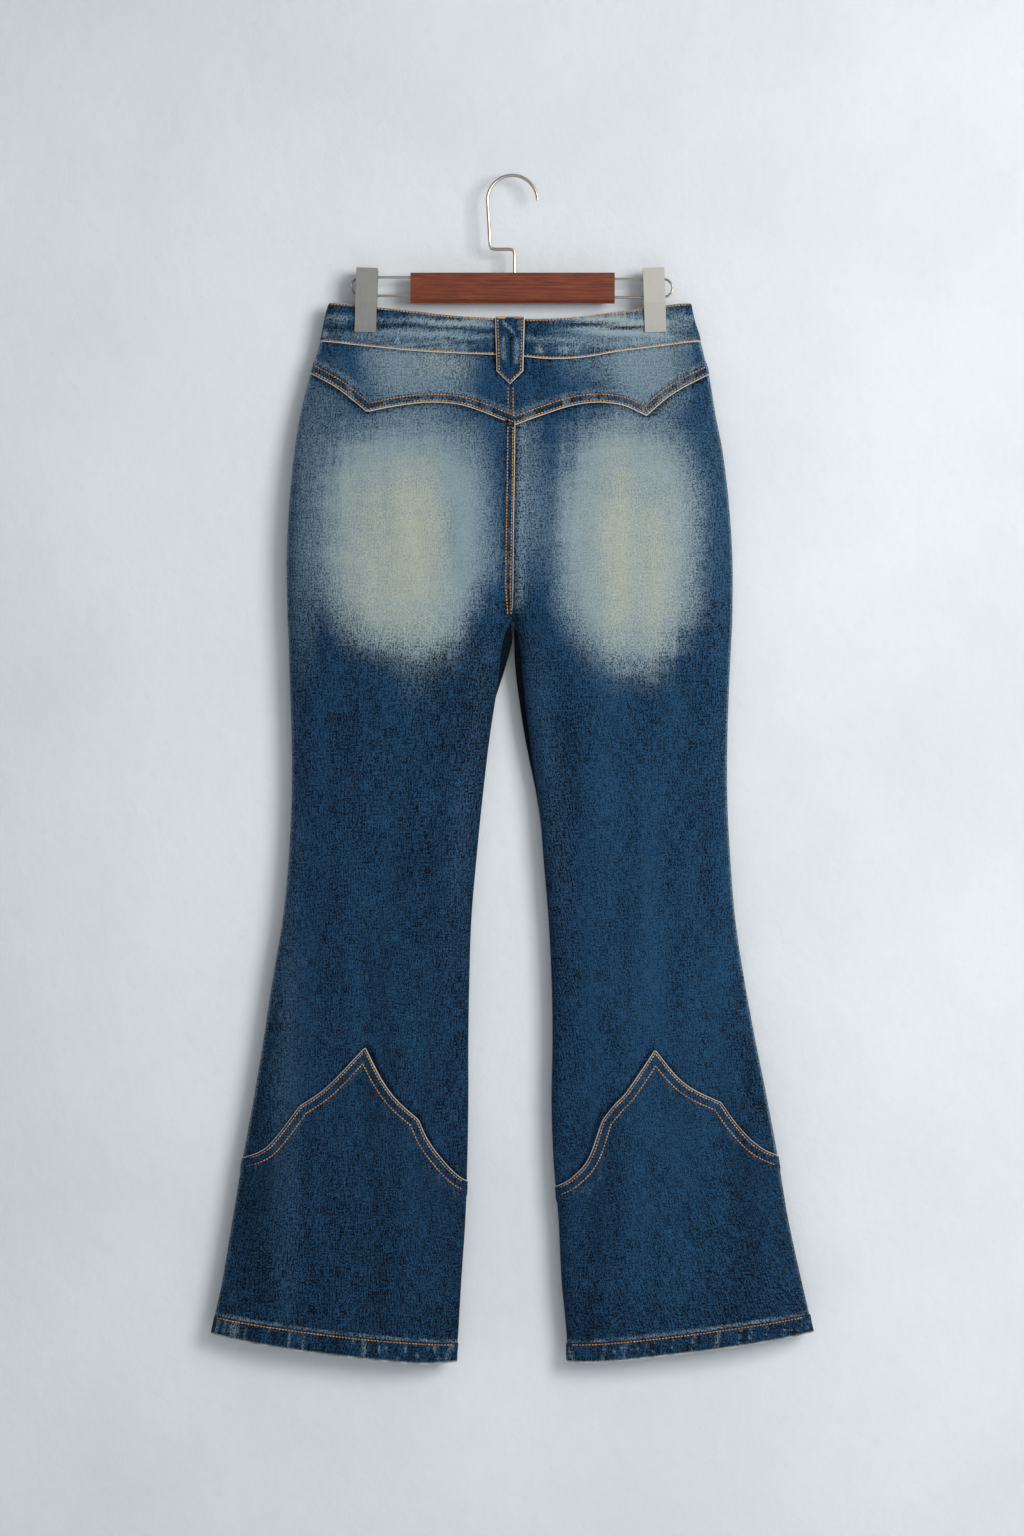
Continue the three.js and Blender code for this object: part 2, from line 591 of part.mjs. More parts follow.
function hangerBar() {
  const { length, middle, top, tall, thick, edge, chamfer } = BAR;
  const y = thick / 2;
  const low = -top - tall;
  const profile = [
    [-y, low + chamfer], [-y + chamfer, low], [y - chamfer, low], [y, low + chamfer],
    [y, -top - edge], [y - edge, -top], [-y + edge, -top], [-y, -top - edge],
  ];
  const clear = SADDLE.clear;
  let bar = solidFrom(prismAlongX(profile, length, middle));
  for (const side of ['left', 'right']) {
    const sign = side === 'left' ? -1 : 1;
    const face = middle + (sign * length) / 2;
    for (const level of [railTop[side], railTop[side] + RAIL.gap]) {
      const bore = drill(RAIL.wire + clear, 'x', face + sign, face - sign * (RAIL.sink + clear), -level);
      bar = bar.subtract(bore);
    }
  }
  const socket = drill(HOOK.wire + clear, 'z', -top + 1, -top - HOOK.sink - clear, HOOK.stem);
  bar = bar.subtract(socket);
  return makeMesh('hanger_bar', geometryFrom(bar), 'wood');
}

function hook() {
  const { wire, bend, arcEnd, neck, lean, knee, turn, stem, sink } = HOOK;
  const centre = wire - bend;
  const arc = new FlatArc(0, centre, bend, 0, arcEnd);
  const arcTip = arc.getPoint(1);
  const curves = [
    arc,
    pathLine(arcTip.x, arcTip.z, neck - lean, -knee + turn),
    pathBend([neck - lean, -knee + turn], [neck, -knee], [neck + turn, -knee]),
    pathLine(neck + turn, -knee, stem - turn, -knee),
    pathBend([stem - turn, -knee], [stem, -knee], [stem, -knee - turn]),
    pathLine(stem, -knee - turn, stem, -BAR.top - sink),
  ];
  return makeMesh('hook', wireGeometry(curves, wire, 50, 5), 'metal');
}

function railWire(side) {
  const { wire, sink, gap } = RAIL;
  const sign = side === 'left' ? -1 : 1;
  const top = -railTop[side];
  const radius = gap / 2;
  const inner = BAR.middle + sign * (BAR.length / 2 - sink);
  const end = side === 'left' ? RAIL.leftEnd : RAIL.rightEnd;
  const turn = end - sign * radius;
  const angles = side === 'left' ? [90, 270] : [90, -90];
  const curves = [
    pathLine(inner, top, turn, top),
    new FlatArc(turn, top - radius, radius, ...angles),
    pathLine(turn, top - gap, inner, top - gap),
  ];
  return makeMesh(`rail_wire_${side}`, wireGeometry(curves, wire, 36, 4), 'metal');
}

// A jaw is a bent plate: straight beside the rail wires, then in to the cloth, then a small lip
function clipJaw(side, face) {
  const { wide, top, bottom, thick, shoulder, lip, grip, bend } = CLIP;
  const sign = face === 'back' ? -1 : 1;
  const touch = PINCHED + PROUD + SEAM;
  const profile = [
    [shoulder, -top], [shoulder + thick, -top], [shoulder + thick, -bend], [touch + thick, -grip],
    [lip + thick, -bottom], [lip, -bottom], [touch, -grip], [shoulder, -bend],
  ].map(([y, z]) => [sign * y, z]);
  if (sign < 0) profile.reverse();
  const geometry = prismAlongX(profile, wide, 0);
  const mesh = makeMesh(`clip_jaw_${face}_${side}`, geometry, 'metal');
  mesh.position.set(0, 0, (top + bottom) / 2);
  const group = new THREE.Group();
  group.add(mesh);
  group.rotation.y = THREE.MathUtils.degToRad(clipTilt[side]);
  group.position.set(clipAt[side], 0, -(top + bottom) / 2);
  return group;
}

// The saddle slides on both rail wires and carries the two jaws
function clipSaddle(side) {
  const { wide, top, bottom, clear } = SADDLE;
  const y = CLIP.shoulder - SEAM;
  const profile = [[-y, -bottom], [y, -bottom], [y, -top], [-y, -top]];
  let saddle = solidFrom(prismAlongX(profile, wide, clipAt[side]));
  for (const level of [railTop[side], railTop[side] + RAIL.gap]) {
    const reach = wide / 2 + 1;
    const bore = drill(RAIL.wire + clear, 'x', clipAt[side] - reach, clipAt[side] + reach, -level);
    saddle = saddle.subtract(bore);
  }
  return makeMesh(`clip_saddle_${side}`, geometryFrom(saddle), 'metal');
}

const jeans = new THREE.Group();
for (const side of ['left', 'right']) {
  jeans.add(waistband(side), yoke(side), backPanel(side), flarePanel(side), frontPanel(side), hem(side));
}
jeans.add(beltLoop(), fly(), button());

const hanger = new THREE.Group();
hanger.add(hangerBar(), hook());
for (const side of ['left', 'right']) {
  hanger.add(railWire(side), clipSaddle(side), clipJaw(side, 'back'), clipJaw(side, 'front'));
}

const part = new THREE.Group();
part.add(jeans, hanger);
export default part;
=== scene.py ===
# %% [markdown]
# # Flared jeans on a clip hanger
# This notebook dresses a fixed frame of solids with denim, thread, wood and metal. The jeans hang
# by the waistband, and we look at their back. Lengths in the tables are millimetres, counted from
# the place where the hook rests: x to the right, y away from us, and down below the hook. Meshes
# are made in metres.

# %% Load the frame
import math

import bpy
import numpy as np
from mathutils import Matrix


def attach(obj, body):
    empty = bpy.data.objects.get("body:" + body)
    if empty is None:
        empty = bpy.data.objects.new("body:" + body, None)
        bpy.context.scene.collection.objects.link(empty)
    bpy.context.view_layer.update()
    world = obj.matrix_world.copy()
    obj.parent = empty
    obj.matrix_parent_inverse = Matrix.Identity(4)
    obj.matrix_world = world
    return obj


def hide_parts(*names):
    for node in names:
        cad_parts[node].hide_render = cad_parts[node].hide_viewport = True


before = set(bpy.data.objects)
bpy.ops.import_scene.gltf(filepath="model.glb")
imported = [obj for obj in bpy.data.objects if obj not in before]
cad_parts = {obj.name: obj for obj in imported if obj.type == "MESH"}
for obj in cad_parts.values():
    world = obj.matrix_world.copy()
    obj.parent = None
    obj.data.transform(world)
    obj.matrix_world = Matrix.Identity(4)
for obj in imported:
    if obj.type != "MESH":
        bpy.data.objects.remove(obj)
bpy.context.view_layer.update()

MM = 0.001
rng = np.random.default_rng(7)
bpy.context.scene.view_settings.view_transform = "Standard"


def add_object(name, data):
    made = bpy.data.objects.new(name, data)
    bpy.context.scene.collection.objects.link(made)
    return made


print("nodes:", len(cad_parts))

# %% [markdown]
# ## The outline of hanging cloth
# Jeans on a hanger are two flat tubes. Sculpting them by hand would lose the sizes, and simulated
# cloth would not fall into this exact outline, so the surface is a formula: a table gives the edges
# of each leg and the depth of the back and the front at several levels, and a smooth curve runs
# through each column.

# %% Tables of the outline and the seams
OUTLINE_COLUMNS = ("down", "left_out", "left_in", "right_in", "right_out", "back", "front")
OUTLINE = [
    (120, -181, 3, 3, 177, 22, 12),
    (141, -187, 3, 3, 181, 22, 12),
    (165, -192, 3, 3, 188, 22, 12),
    (201, -203, 3, 3, 197, 23, 12),
    (237, -212, 3, 3, 203, 24, 12.5),
    (273, -218, 2.6, 2.6, 210, 26, 13),
    (321, -223, 2, 2, 216, 28, 13),
    (381, -226, 1, 1, 220, 28, 13),
    (443, -225, 0, 0, 220, 25, 12.5),
    (463, -224, -9, 6, 219, 24, 12.5),
    (503, -223, -14, 10, 217, 22, 12),
    (563, -221, -23, 17, 215, 20, 12),
    (623, -221, -30, 26, 215, 19, 12),
    (683, -224, -36, 31, 218, 18, 12),
    (743, -230, -41, 36, 223, 17.5, 12),
    (803, -240, -43, 39, 232, 17, 12),
    (863, -249, -44, 40, 243, 17, 12.5),
    (923, -259, -44, 39, 255, 17, 13),
    (983, -270, -45, 41, 266, 17, 13),
    (1043, -280, -47, 46, 276, 17.5, 13.5),
    (1103, -290, -51, 49, 289, 18, 14),
    (1155, -301, -54, 54, 301, 18, 14),
    (1185, -306, -56, 55, 306, 18, 14),
]
CROTCH = 443

# Seam lines as (x, down) from left to right, with the x of each sharp corner
WAIST_TOP = [(-195, 125), (-158, 128), (-96, 134.5), (-55, 139.5), (0, 142.5), (51, 141.5),
             (109, 134.5), (153, 128.5), (195, 125)]
WAIST_BOTTOM = [(-210, 162.3), (-192, 164.4), (-146, 169.3), (-96, 174.3), (-47, 177.3), (3, 179.5),
                (34, 182.5), (67, 181.3), (109, 174.3), (188, 164.4), (205, 162.3)]
FRONT_TOP = [(-195, 125), (-150, 133), (-96, 150), (-48, 164), (0, 169), (48, 164), (96, 150),
             (146, 133), (195, 125)]
FRONT_BOTTOM = [(-210, 162.3), (-192, 164.4), (-150, 172), (-96, 189), (-48, 202), (0, 207),
                (48, 202), (96, 189), (146, 172), (188, 164.4), (205, 162.3)]
YOKE_EDGE = [(-215, 190), (-199, 198), (-172, 214), (-145, 236), (-112, 229.5), (-80, 226.5),
             (-48, 230), (3, 249.5), (29, 239.8), (59, 229.9), (84, 226.5), (110, 229.5),
             (133.5, 240), (158, 219), (197, 197.5), (215, 189)]
YOKE_CORNERS = (-145, 3, 133.5)
CALF_LEFT = [(-290, 985), (-269, 980), (-246, 970), (-230, 952), (-212, 927.5), (-195, 916.5),
             (-180, 904), (-146.5, 868.5), (-130, 901), (-115.5, 921), (-93.5, 941), (-85, 960),
             (-71, 980), (-55, 997), (-45, 1003.5), (-25, 1012)]
CALF_RIGHT = [(25, 1016), (43, 1009), (61, 998), (77, 978), (89.5, 941.5), (101, 927),
              (113.5, 913.5), (142, 871), (162, 896), (178, 909.5), (208, 924), (222, 944),
              (242, 965.5), (265, 978), (285, 984)]
CALF_CORNERS = {"left": (-212, -146.5, -93.5), "right": (89.5, 142, 208)}
HEM_TOP = [(-315, 1136), (-298, 1138.5), (-232, 1148), (-162, 1157), (-92, 1163.5), (-53, 1166),
           (0, 1168), (53, 1166), (92, 1163.5), (160, 1156), (232, 1146.5), (300, 1136.5), (315, 1134)]
HEM_BOTTOM = [(-315, 1153), (-301, 1156), (-236, 1168), (-162, 1178), (-92, 1185), (-56, 1184.5),
              (0, 1184.5), (55, 1184.5), (92, 1183), (160, 1175.5), (232, 1166), (301, 1154.5),
              (315, 1152)]


def smooth(places, values, corners=()):
    """A curve through points, as a function that turns sharply at the places in corners."""
    places = np.array(places, float)
    values = np.array(values, float)
    own = np.diff(values) / np.diff(places)
    inner = (values[2:] - values[:-2]) / (places[2:] - places[:-2])
    leaving = np.concatenate([own[:1], inner, own[-1:]])
    arriving = leaving.copy()
    for corner in corners:
        i = int(np.argmin(np.abs(places - corner)))
        leaving[i] = own[i]
        arriving[i] = own[i - 1]

    def curve(at):
        at = np.asarray(at, float)
        i = np.clip(np.searchsorted(places, at, side="right") - 1, 0, len(places) - 2)
        span = places[i + 1] - places[i]
        t = np.clip((at - places[i]) / span, -0.5, 1.5)
        rest = 1 - t
        ends = values[i] * rest * rest * (1 + 2 * t) + values[i + 1] * t * t * (1 + 2 * rest)
        return ends + (leaving[i] * rest - arriving[i + 1] * t) * span * t * rest

    return curve


def seam_line(points, corners=()):
    places, values = zip(*points)
    return smooth(places, values, corners)


columns = dict(zip(OUTLINE_COLUMNS, zip(*OUTLINE)))
outline = {}
for name in OUTLINE_COLUMNS[1:]:
    turns = (CROTCH,) if name.endswith("in") else ()
    outline[name] = smooth(columns["down"], columns[name], turns)

waist_top = seam_line(WAIST_TOP)
waist_bottom = seam_line(WAIST_BOTTOM)
front_top = seam_line(FRONT_TOP)
front_bottom = seam_line(FRONT_BOTTOM)
yoke_edge = seam_line(YOKE_EDGE, YOKE_CORNERS)
calf = {"left": seam_line(CALF_LEFT, CALF_CORNERS["left"]),
        "right": seam_line(CALF_RIGHT, CALF_CORNERS["right"])}
hem_top = seam_line(HEM_TOP, (0,))
hem_bottom = seam_line(HEM_BOTTOM, (0,))
print("outline levels:", len(OUTLINE))

# %% [markdown]
# ## Folds
# The photograph shows few folds: drag lines that leave the crotch, and long soft troughs and ridges
# down the legs. Each is a straight stretch with a bell-shaped cross-section, which is easier to place
# than a sculpted one. The first sixteen are in the solids too.

# %% Folds as a table: face, x and down of both ends, width, height
FOLDS = [
    ("back", 8, 455, 42, 640, 8, 2.2), ("back", 38, 470, 74, 700, 14, -2.2),
    ("back", 60, 640, 72, 860, 11, -1.4), ("back", 190, 560, 194, 800, 10, -1.8),
    ("back", -20, 460, -62, 600, 10, -2.0), ("back", -42, 570, -66, 760, 12, 1.6),
    ("back", -110, 560, -112, 820, 16, -1.2), ("back", -192, 600, -205, 820, 12, -1.2),
    ("back", -30, 260, -26, 400, 14, -1.6), ("back", 34, 260, 30, 400, 14, -1.6),
    ("front", -16, 400, -120, 350, 10, -1.6), ("front", 18, 402, 118, 346, 10, -1.6),
    ("front", -60, 520, -82, 800, 14, -1.4), ("front", 62, 520, 86, 820, 14, -1.4),
    ("front", -150, 560, -168, 980, 18, 1.2), ("front", 148, 560, 166, 980, 18, 1.2),
    ("back", 208, 620, 212, 860, 7, 1.2), ("back", 120, 540, 128, 830, 13, 1.3),
    ("back", 152, 600, 160, 840, 9, -1.2), ("back", 100, 900, 104, 1120, 11, -0.9),
    ("back", -6, 440, -22, 520, 5, -1.2), ("back", 6, 445, 20, 560, 4, 0.8),
    ("back", -150, 620, -160, 860, 9, 1.1), ("back", -85, 620, -92, 850, 8, -1.0),
    ("back", -215, 700, -232, 900, 8, 0.8), ("back", 238, 760, 262, 960, 8, -0.9),
    ("back", -180, 1000, -200, 1130, 13, -0.9), ("back", -110, 990, -112, 1140, 11, 0.9),
    ("back", 180, 1000, 196, 1130, 13, -0.9), ("back", 92, 1010, 94, 1140, 11, 0.8),
    ("back", -14, 448, -70, 540, 6, -0.9), ("back", 16, 450, 60, 520, 6, -0.9),
]
print("folds:", len(FOLDS))

# %% [markdown]
# ## One function for the whole surface
# Every piece asks the same function for its points, so neighbours meet without any fitting. A place
# across runs from -1 at the side seam to 1 at the centre seam or the inner leg. Off is the distance
# out of the cloth's face, so a wall, a lapped edge or a stitch is the same call with another off.

# %% The surface
ROUNDNESS = 2.8
CLOSING_START = 350
PINCH_END = 165
FULL_DEPTH = 330
PINCHED = 1.85
MIDDLE_BOW = 5.5
SIDE_LOOP = 2.6
SIDE_ROUND = 6
LEAST_DEPTH = 0.02
FOLD_FADE = 0.3
GRIP = 13
CLIP_AT = {"left": -146, "right": 142}
SIGN = {"left": -1, "right": 1}
# Below the crotch the front bulges inwards and shows in the gap between the legs, where front_relief
# paints it dark as shade: at most this much, at most this share of the gap, and fading out between
# these levels
THIGH_BULGE = {"left": (14, 0.95, 462, 535), "right": (10, 0.5, 490, 700)}


def smoothstep(value, low, high):
    t = np.clip((value - low) / (high - low), 0, 1)
    return t * t * (3 - 2 * t)


def openness(down):
    """How far the centre stands open: 1 in the seat, 0 from the crotch down."""
    t = np.clip((down - CLOSING_START) / (CROTCH - CLOSING_START), 0, 1)
    return np.sqrt(1 - t * t)


def crease(x, down, row, start=0.0, full=None):
    """Height of one row of a table of folds, which fades out towards both ends."""
    x1, down1, x2, down2, wide, high = row
    length = math.hypot(x2 - x1, down2 - down1)
    full = FOLD_FADE * length if full is None else full
    run_x, run_down = (x2 - x1) / length, (down2 - down1) / length
    along = (x - x1) * run_x + (down - down1) * run_down
    aside = (x - x1) * run_down - (down - down1) * run_x
    ends = smoothstep(along, start, full) * smoothstep(length - along, start, full)
    return high * ends * np.exp(-((aside / wide) ** 2))


def fold_height(face, x, down):
    height = np.zeros(np.broadcast(x, down).shape)
    for on, *row in FOLDS:
        if on == face:
            height += crease(x, down, row)
    return height


def waist_depth(side, x, out):
    """Depth where the clips hold the waist flat, with loops between and beside them."""
    reach = np.abs(x)
    grip = abs(CLIP_AT[side])
    middle = PINCHED + MIDDLE_BOW * np.cos(np.pi / 2 * np.clip(reach / (grip - GRIP), 0, 1)) ** 2
    t = np.clip((reach - grip - GRIP) / (np.abs(out) - grip - GRIP), 0, 1)
    return np.where(reach < grip + GRIP, middle, PINCHED + SIDE_LOOP * np.sin(np.pi * t) ** 2)


def side_edges(side, down, off=0.0):
    """The x of the outer and the inner edge of one half."""
    sign = SIGN[side]
    closed = np.sqrt(1 - openness(down) ** 2)
    out = outline[side + "_out"](down) + sign * off
    inner = outline[side + "_in"](down) - sign * off * closed
    return out, inner


def cloth(side, face, place, down, off=0.0):
    """Points of the cloth in millimetres, as an array of x, y and z."""
    place, down = np.broadcast_arrays(np.asarray(place, float), np.asarray(down, float))
    open_now = openness(down)
    out, inner = side_edges(side, down, off)
    x = out + (inner - out) * (place + 1) / 2
    power = np.abs(place) ** ROUNDNESS
    hollow = np.where(place > 0, (1 - open_now**2) * power, power)
    bulge = np.sqrt(np.clip(1 - hollow, 0, 1))
    full = outline[face](down) + off
    edge = np.clip(np.abs(out - x) / (SIDE_ROUND + off), 0, 1)
    pinched = (waist_depth(side, x, out) + off) * np.sqrt(1 - (1 - edge) ** 2)
    fullness = smoothstep(down, PINCH_END, FULL_DEPTH)
    fold = fold_height(face, x, down) * np.minimum(1, bulge * 1.2) * fullness
    depth = pinched + (full * bulge - pinched) * fullness + fold * bulge
    y = np.maximum(LEAST_DEPTH, depth) * (-1 if face == "back" else 1)
    if face == "front":
        gap = outline["right_in"](down) - outline["left_in"](down)
        most, share, high, low = THIGH_BULGE[side]
        near = smoothstep(place, 0.6, 0.85) * (1 - smoothstep(down, high, low)) * (down > CROTCH)
        inwards = np.minimum(most, share * gap) * near * np.sqrt(np.sin(np.pi * np.clip(bulge, 0, 1)))
        x = x - SIGN[side] * inwards
    return np.stack([x, y, -down], axis=-1)


def place_at(side, x, down):
    out, inner = side_edges(side, down)
    return np.clip(2 * (x - out) / (inner - out) - 1, -1, 1)


def on_cloth(face, x, down, off):
    """Points on one face at given x and down, on whichever half is there."""
    x, down, off = np.broadcast_arrays(*(np.asarray(v, float) for v in (x, down, off)))
    middle = np.where(down < CROTCH, outline["left_in"](down), 0.0)
    left = cloth("left", face, place_at("left", x, down), down, off)
    right = cloth("right", face, place_at("right", x, down), down, off)
    points = np.where((x < middle)[..., None], left, right)
    points[..., 0] = x
    return points


print("seat depth:", round(float(cloth("left", "back", 0.2, 340)[1]), 1), "mm")

# %% [markdown]
# ## Camera, light and stage
# The photograph was taken straight on, from far enough away that the hanger and the hems look
# equally large. A long lens 3.6 m away does the same. One large light from the right gives each leg
# its soft shadow on the wall. A weaker one in front and a pale sky fill the shadows, and a third
# light behind the wall is for views of the side that the photograph doesn't show.

# %% Camera
CAMERA_AWAY = 3.6
CAMERA_DOWN = 0.591
PICTURE_TALL = 1.536
SENSOR = 36.0
camera_data = bpy.data.cameras.new("camera")
camera_data.sensor_width = SENSOR
camera_data.lens = SENSOR * CAMERA_AWAY / PICTURE_TALL
camera = add_object("camera", camera_data)
camera.location = (-0.0004, -CAMERA_AWAY, -CAMERA_DOWN)
camera.rotation_euler = (math.pi / 2, 0, 0)
bpy.context.scene.camera = camera
print("lens:", round(camera_data.lens, 1), "mm")

# %% Lights


def area_light(name, place, aim, size, power, color):
    data = bpy.data.lights.new(name, "AREA")
    data.shape = "RECTANGLE"
    data.size, data.size_y = size
    data.energy = power
    data.color = color
    light = add_object(name, data)
    light.location = place
    away = np.array(aim) - np.array(place)
    light.rotation_euler = (
        math.acos(-away[2] / np.linalg.norm(away)), 0, math.atan2(away[1], away[0]) - math.pi / 2)


area_light("key", (1.6, -2.2, 0.1), (0, 0, -0.6), (1.2, 1.2), 51, (1.0, 0.99, 0.98))
area_light("fill", (0.2, -2.6, -0.2), (0, 0, -0.6), (1.8, 1.8), 10, (0.95, 0.98, 1.0))
area_light("behind", (-0.8, 2.6, 0.4), (0, 0, -0.6), (1.6, 2.0), 60, (0.96, 0.98, 1.0))
world = bpy.data.worlds.new("studio")
world.use_nodes = True
sky = world.node_tree.nodes["Background"].inputs
sky["Color"].default_value = (0.94, 0.97, 1.0, 1)
sky["Strength"].default_value = 0.28
bpy.context.scene.world = world
print("lights: 3")

# %% [markdown]
# ## Small helpers for shader nodes
# A material is a tree of nodes. These helpers add a node, set its values by name and join it to
# others, so that each material below reads as a short recipe.

# %% Node helpers


def srgb(red, green, blue):
    """A colour given as 0 to 255 screen values, turned into the linear values that shaders use."""
    channels = []
    for value in (red, green, blue):
        share = value / 255
        channels.append(share / 12.92 if share <= 0.04045 else ((share + 0.055) / 1.055) ** 2.4)
    return (*channels, 1.0)


class Tree:
    """A node tree with short calls for adding and joining nodes."""

    def __init__(self, tree):
        self.tree = tree

    def add(self, kind, settings=None, **inputs):
        node = self.tree.nodes.new("ShaderNode" + kind)
        for key, value in (settings or {}).items():
            setattr(node, key, value)
        self.give(node, **inputs)
        return node

    def put(self, socket, value):
        if isinstance(value, bpy.types.NodeSocket):
            self.tree.links.new(value, socket)
        else:
            socket.default_value = value

    def give(self, node, **inputs):
        for key, value in inputs.items():
            self.put(node.inputs[key.replace("_", " ")], value)

    def math(self, operation, *values, clamp=False):
        node = self.add("Math", {"operation": operation, "use_clamp": clamp})
        for socket, value in zip(node.inputs, values):
            self.put(socket, value)
        return node.outputs[0]

    def total(self, *terms):
        """The sum of (socket, weight) pairs."""
        parts = [self.math("MULTIPLY", socket, weight) for socket, weight in terms]
        sum_so_far = parts[0]
        for part in parts[1:]:
            sum_so_far = self.math("ADD", sum_so_far, part)
        return sum_so_far

    def noise(self, vector, stretch, detail=2.0, roughness=0.5):
        """Noise with about this many lumps to a unit along each axis."""
        stretched = self.add("VectorMath", {"operation": "MULTIPLY"})
        self.put(stretched.inputs[0], vector)
        self.put(stretched.inputs[1], (*stretch, 1.0)[:3])
        node = self.add("TexNoise", {"noise_dimensions": "3D"}, Vector=stretched.outputs[0],
                        Scale=1.0, Detail=detail, Roughness=roughness)
        return node.outputs["Fac"]

    def ramp(self, value, low, high, to_low=0.0, to_high=1.0):
        node = self.add("MapRange", {"clamp": True, "interpolation_type": "SMOOTHSTEP"})
        for key, number in (("Value", value), ("From Min", low), ("From Max", high),
                            ("To Min", to_low), ("To Max", to_high)):
            self.put(node.inputs[key], number)
        return node.outputs[0]

    def mix(self, share, first, second):
        node = self.add("Mix", {"data_type": "RGBA"})
        self.put(node.inputs[0], share)
        self.put(node.inputs[6], first)
        self.put(node.inputs[7], second)
        return node.outputs[2]

    def attribute(self, name):
        return self.add("Attribute", {"attribute_name": name}).outputs["Fac"]

    def group(self, group, **inputs):
        node = self.add("Group", {"node_tree": group})
        self.give(node, **inputs)
        return node

    def bump(self, shader, height, strength, distance):
        node = self.add("Bump", Strength=strength, Distance=distance, Height=height)
        self.give(shader, Normal=node.outputs[0])


def new_group(name, inputs, outputs):
    """An empty node group with named sockets, and its inside as a Tree."""
    group = bpy.data.node_groups.new(name, "ShaderNodeTree")
    for label, kind, value in inputs:
        socket = group.interface.new_socket(label, in_out="INPUT", socket_type="NodeSocket" + kind)
        if value is not None:
            socket.default_value = value
    for label, kind in outputs:
        group.interface.new_socket(label, in_out="OUTPUT", socket_type="NodeSocket" + kind)
    given = group.nodes.new("NodeGroupInput").outputs
    made = group.nodes.new("NodeGroupOutput").inputs
    return group, Tree(group), given, made


def new_material(name):
    material = bpy.data.materials.new(name)
    material.use_nodes = True
    nodes = material.node_tree.nodes
    return material, Tree(material.node_tree), nodes["Principled BSDF"], nodes["Material Output"]


print("node helpers ready")

# %% Wall and floor


def stage_plane(name, corners, material):
    mesh = bpy.data.meshes.new(name)
    mesh.from_pydata(corners, [], [(0, 1, 2, 3)])
    mesh.materials.append(material)
    add_object(name, mesh)


def plaster():
    """Pale plaster, clear from behind. Light from behind reaches only what is seen directly."""
    material, tree, shader, output = new_material("plaster")
    position = tree.add("TexCoord").outputs["Object"]
    cloud = tree.noise(position, (2.3, 2.3, 2.3), detail=5, roughness=0.6)
    color = tree.mix(tree.ramp(cloud, 0.3, 0.7), srgb(217, 222, 226), srgb(228, 232, 235))
    specks = tree.noise(position, (90, 90, 70), detail=4, roughness=0.7)
    color = tree.mix(tree.ramp(specks, 0.5, 0.75, 0.0, 0.15), color, srgb(205, 211, 215))
    tree.give(shader, Base_Color=color, Roughness=0.9)
    lumps = tree.noise(position, (60, 60, 60), detail=5, roughness=0.6)
    tree.bump(shader, lumps, strength=0.5, distance=0.002)
    behind = tree.add("NewGeometry").outputs["Backfacing"]
    path = tree.add("LightPath").outputs
    direct = tree.math("LESS_THAN", path["Ray Depth"], 1.5)
    clear = tree.math("MAXIMUM", behind, tree.math("MULTIPLY", path["Is Shadow Ray"], direct))
    see_through = tree.add("BsdfTransparent").outputs[0]
    blend = tree.add("MixShader")
    tree.put(blend.inputs[0], clear)
    tree.put(blend.inputs[1], shader.outputs[0])
    tree.put(blend.inputs[2], see_through)
    tree.put(output.inputs["Surface"], blend.outputs[0])
    return material


WALL_Y = 0.021
WALL_TOP = 2.5
FLOOR_Z = -1.52
STAGE_HALF = 4
STAGE_DEEP = 5
wall_paint = plaster()
left, right = -STAGE_HALF, STAGE_HALF
stage_plane("wall", [(left, WALL_Y, FLOOR_Z), (right, WALL_Y, FLOOR_Z),
                     (right, WALL_Y, WALL_TOP), (left, WALL_Y, WALL_TOP)], wall_paint)
stage_plane("floor", [(left, -STAGE_DEEP, FLOOR_Z), (right, -STAGE_DEEP, FLOOR_Z),
                      (right, STAGE_DEEP, FLOOR_Z), (left, STAGE_DEEP, FLOOR_Z)], wall_paint)
print("wall", WALL_Y, "m behind the hook")

# %% [markdown]
# ## Denim
# Denim has indigo warp threads and white weft threads. Where it is rubbed, the indigo comes off
# and the white shows, first on the high threads, so a worn patch ends in grain and not in a blur.
# Each vertex carries six masks: wash for dye that is a little thinner, and for painted light and
# shade, which can make it negative; fade and cream for the two colours of the worn patches, rub for
# worn high spots, edge for the whitened edge of a lapped seam and inside for the paler wrong side. One
# group turns cloth coordinates into threads, and another bleaches a colour through those threads, once
# for each of the last five masks.

# %% Groups for woven threads and for wear


def weave_group():
    group, tree, given, made = new_group(
        "Weave",
        [("Vector", "Vector", None), ("Thread mm", "Float", 1.15)],
        [("Threads", "Float"), ("Grain", "Float"), ("Height", "Float")])
    per_metre = tree.math("DIVIDE", 1000.0, given["Thread mm"])
    scale = tree.add("VectorMath", {"operation": "SCALE"})
    tree.put(scale.inputs[0], given["Vector"])
    tree.put(scale.inputs["Scale"], per_metre)
    threads = scale.outputs[0]
    warp = tree.noise(threads, (0.85, 0.09), detail=2, roughness=0.6)
    weft = tree.noise(threads, (0.08, 0.8), detail=2, roughness=0.6)
    fine = tree.noise(threads, (0.8, 0.6), detail=2, roughness=0.65)
    woven = tree.total((warp, 0.3), (weft, 0.17), (fine, 0.53))
    tree.put(made["Threads"], tree.ramp(woven, 0.41, 0.59))
    grain = tree.total((fine, 0.6), (warp, 0.25), (weft, 0.15))
    tree.put(made["Grain"], tree.ramp(grain, 0.4, 0.6))
    twill = tree.add("TexWave", {"wave_type": "BANDS", "bands_direction": "DIAGONAL"},
                     Vector=threads, Scale=0.32, Distortion=1.2, Detail=1.0).outputs["Fac"]
    tree.put(made["Height"], tree.math("ADD", tree.math("MULTIPLY", twill, 0.35), woven))
    return group


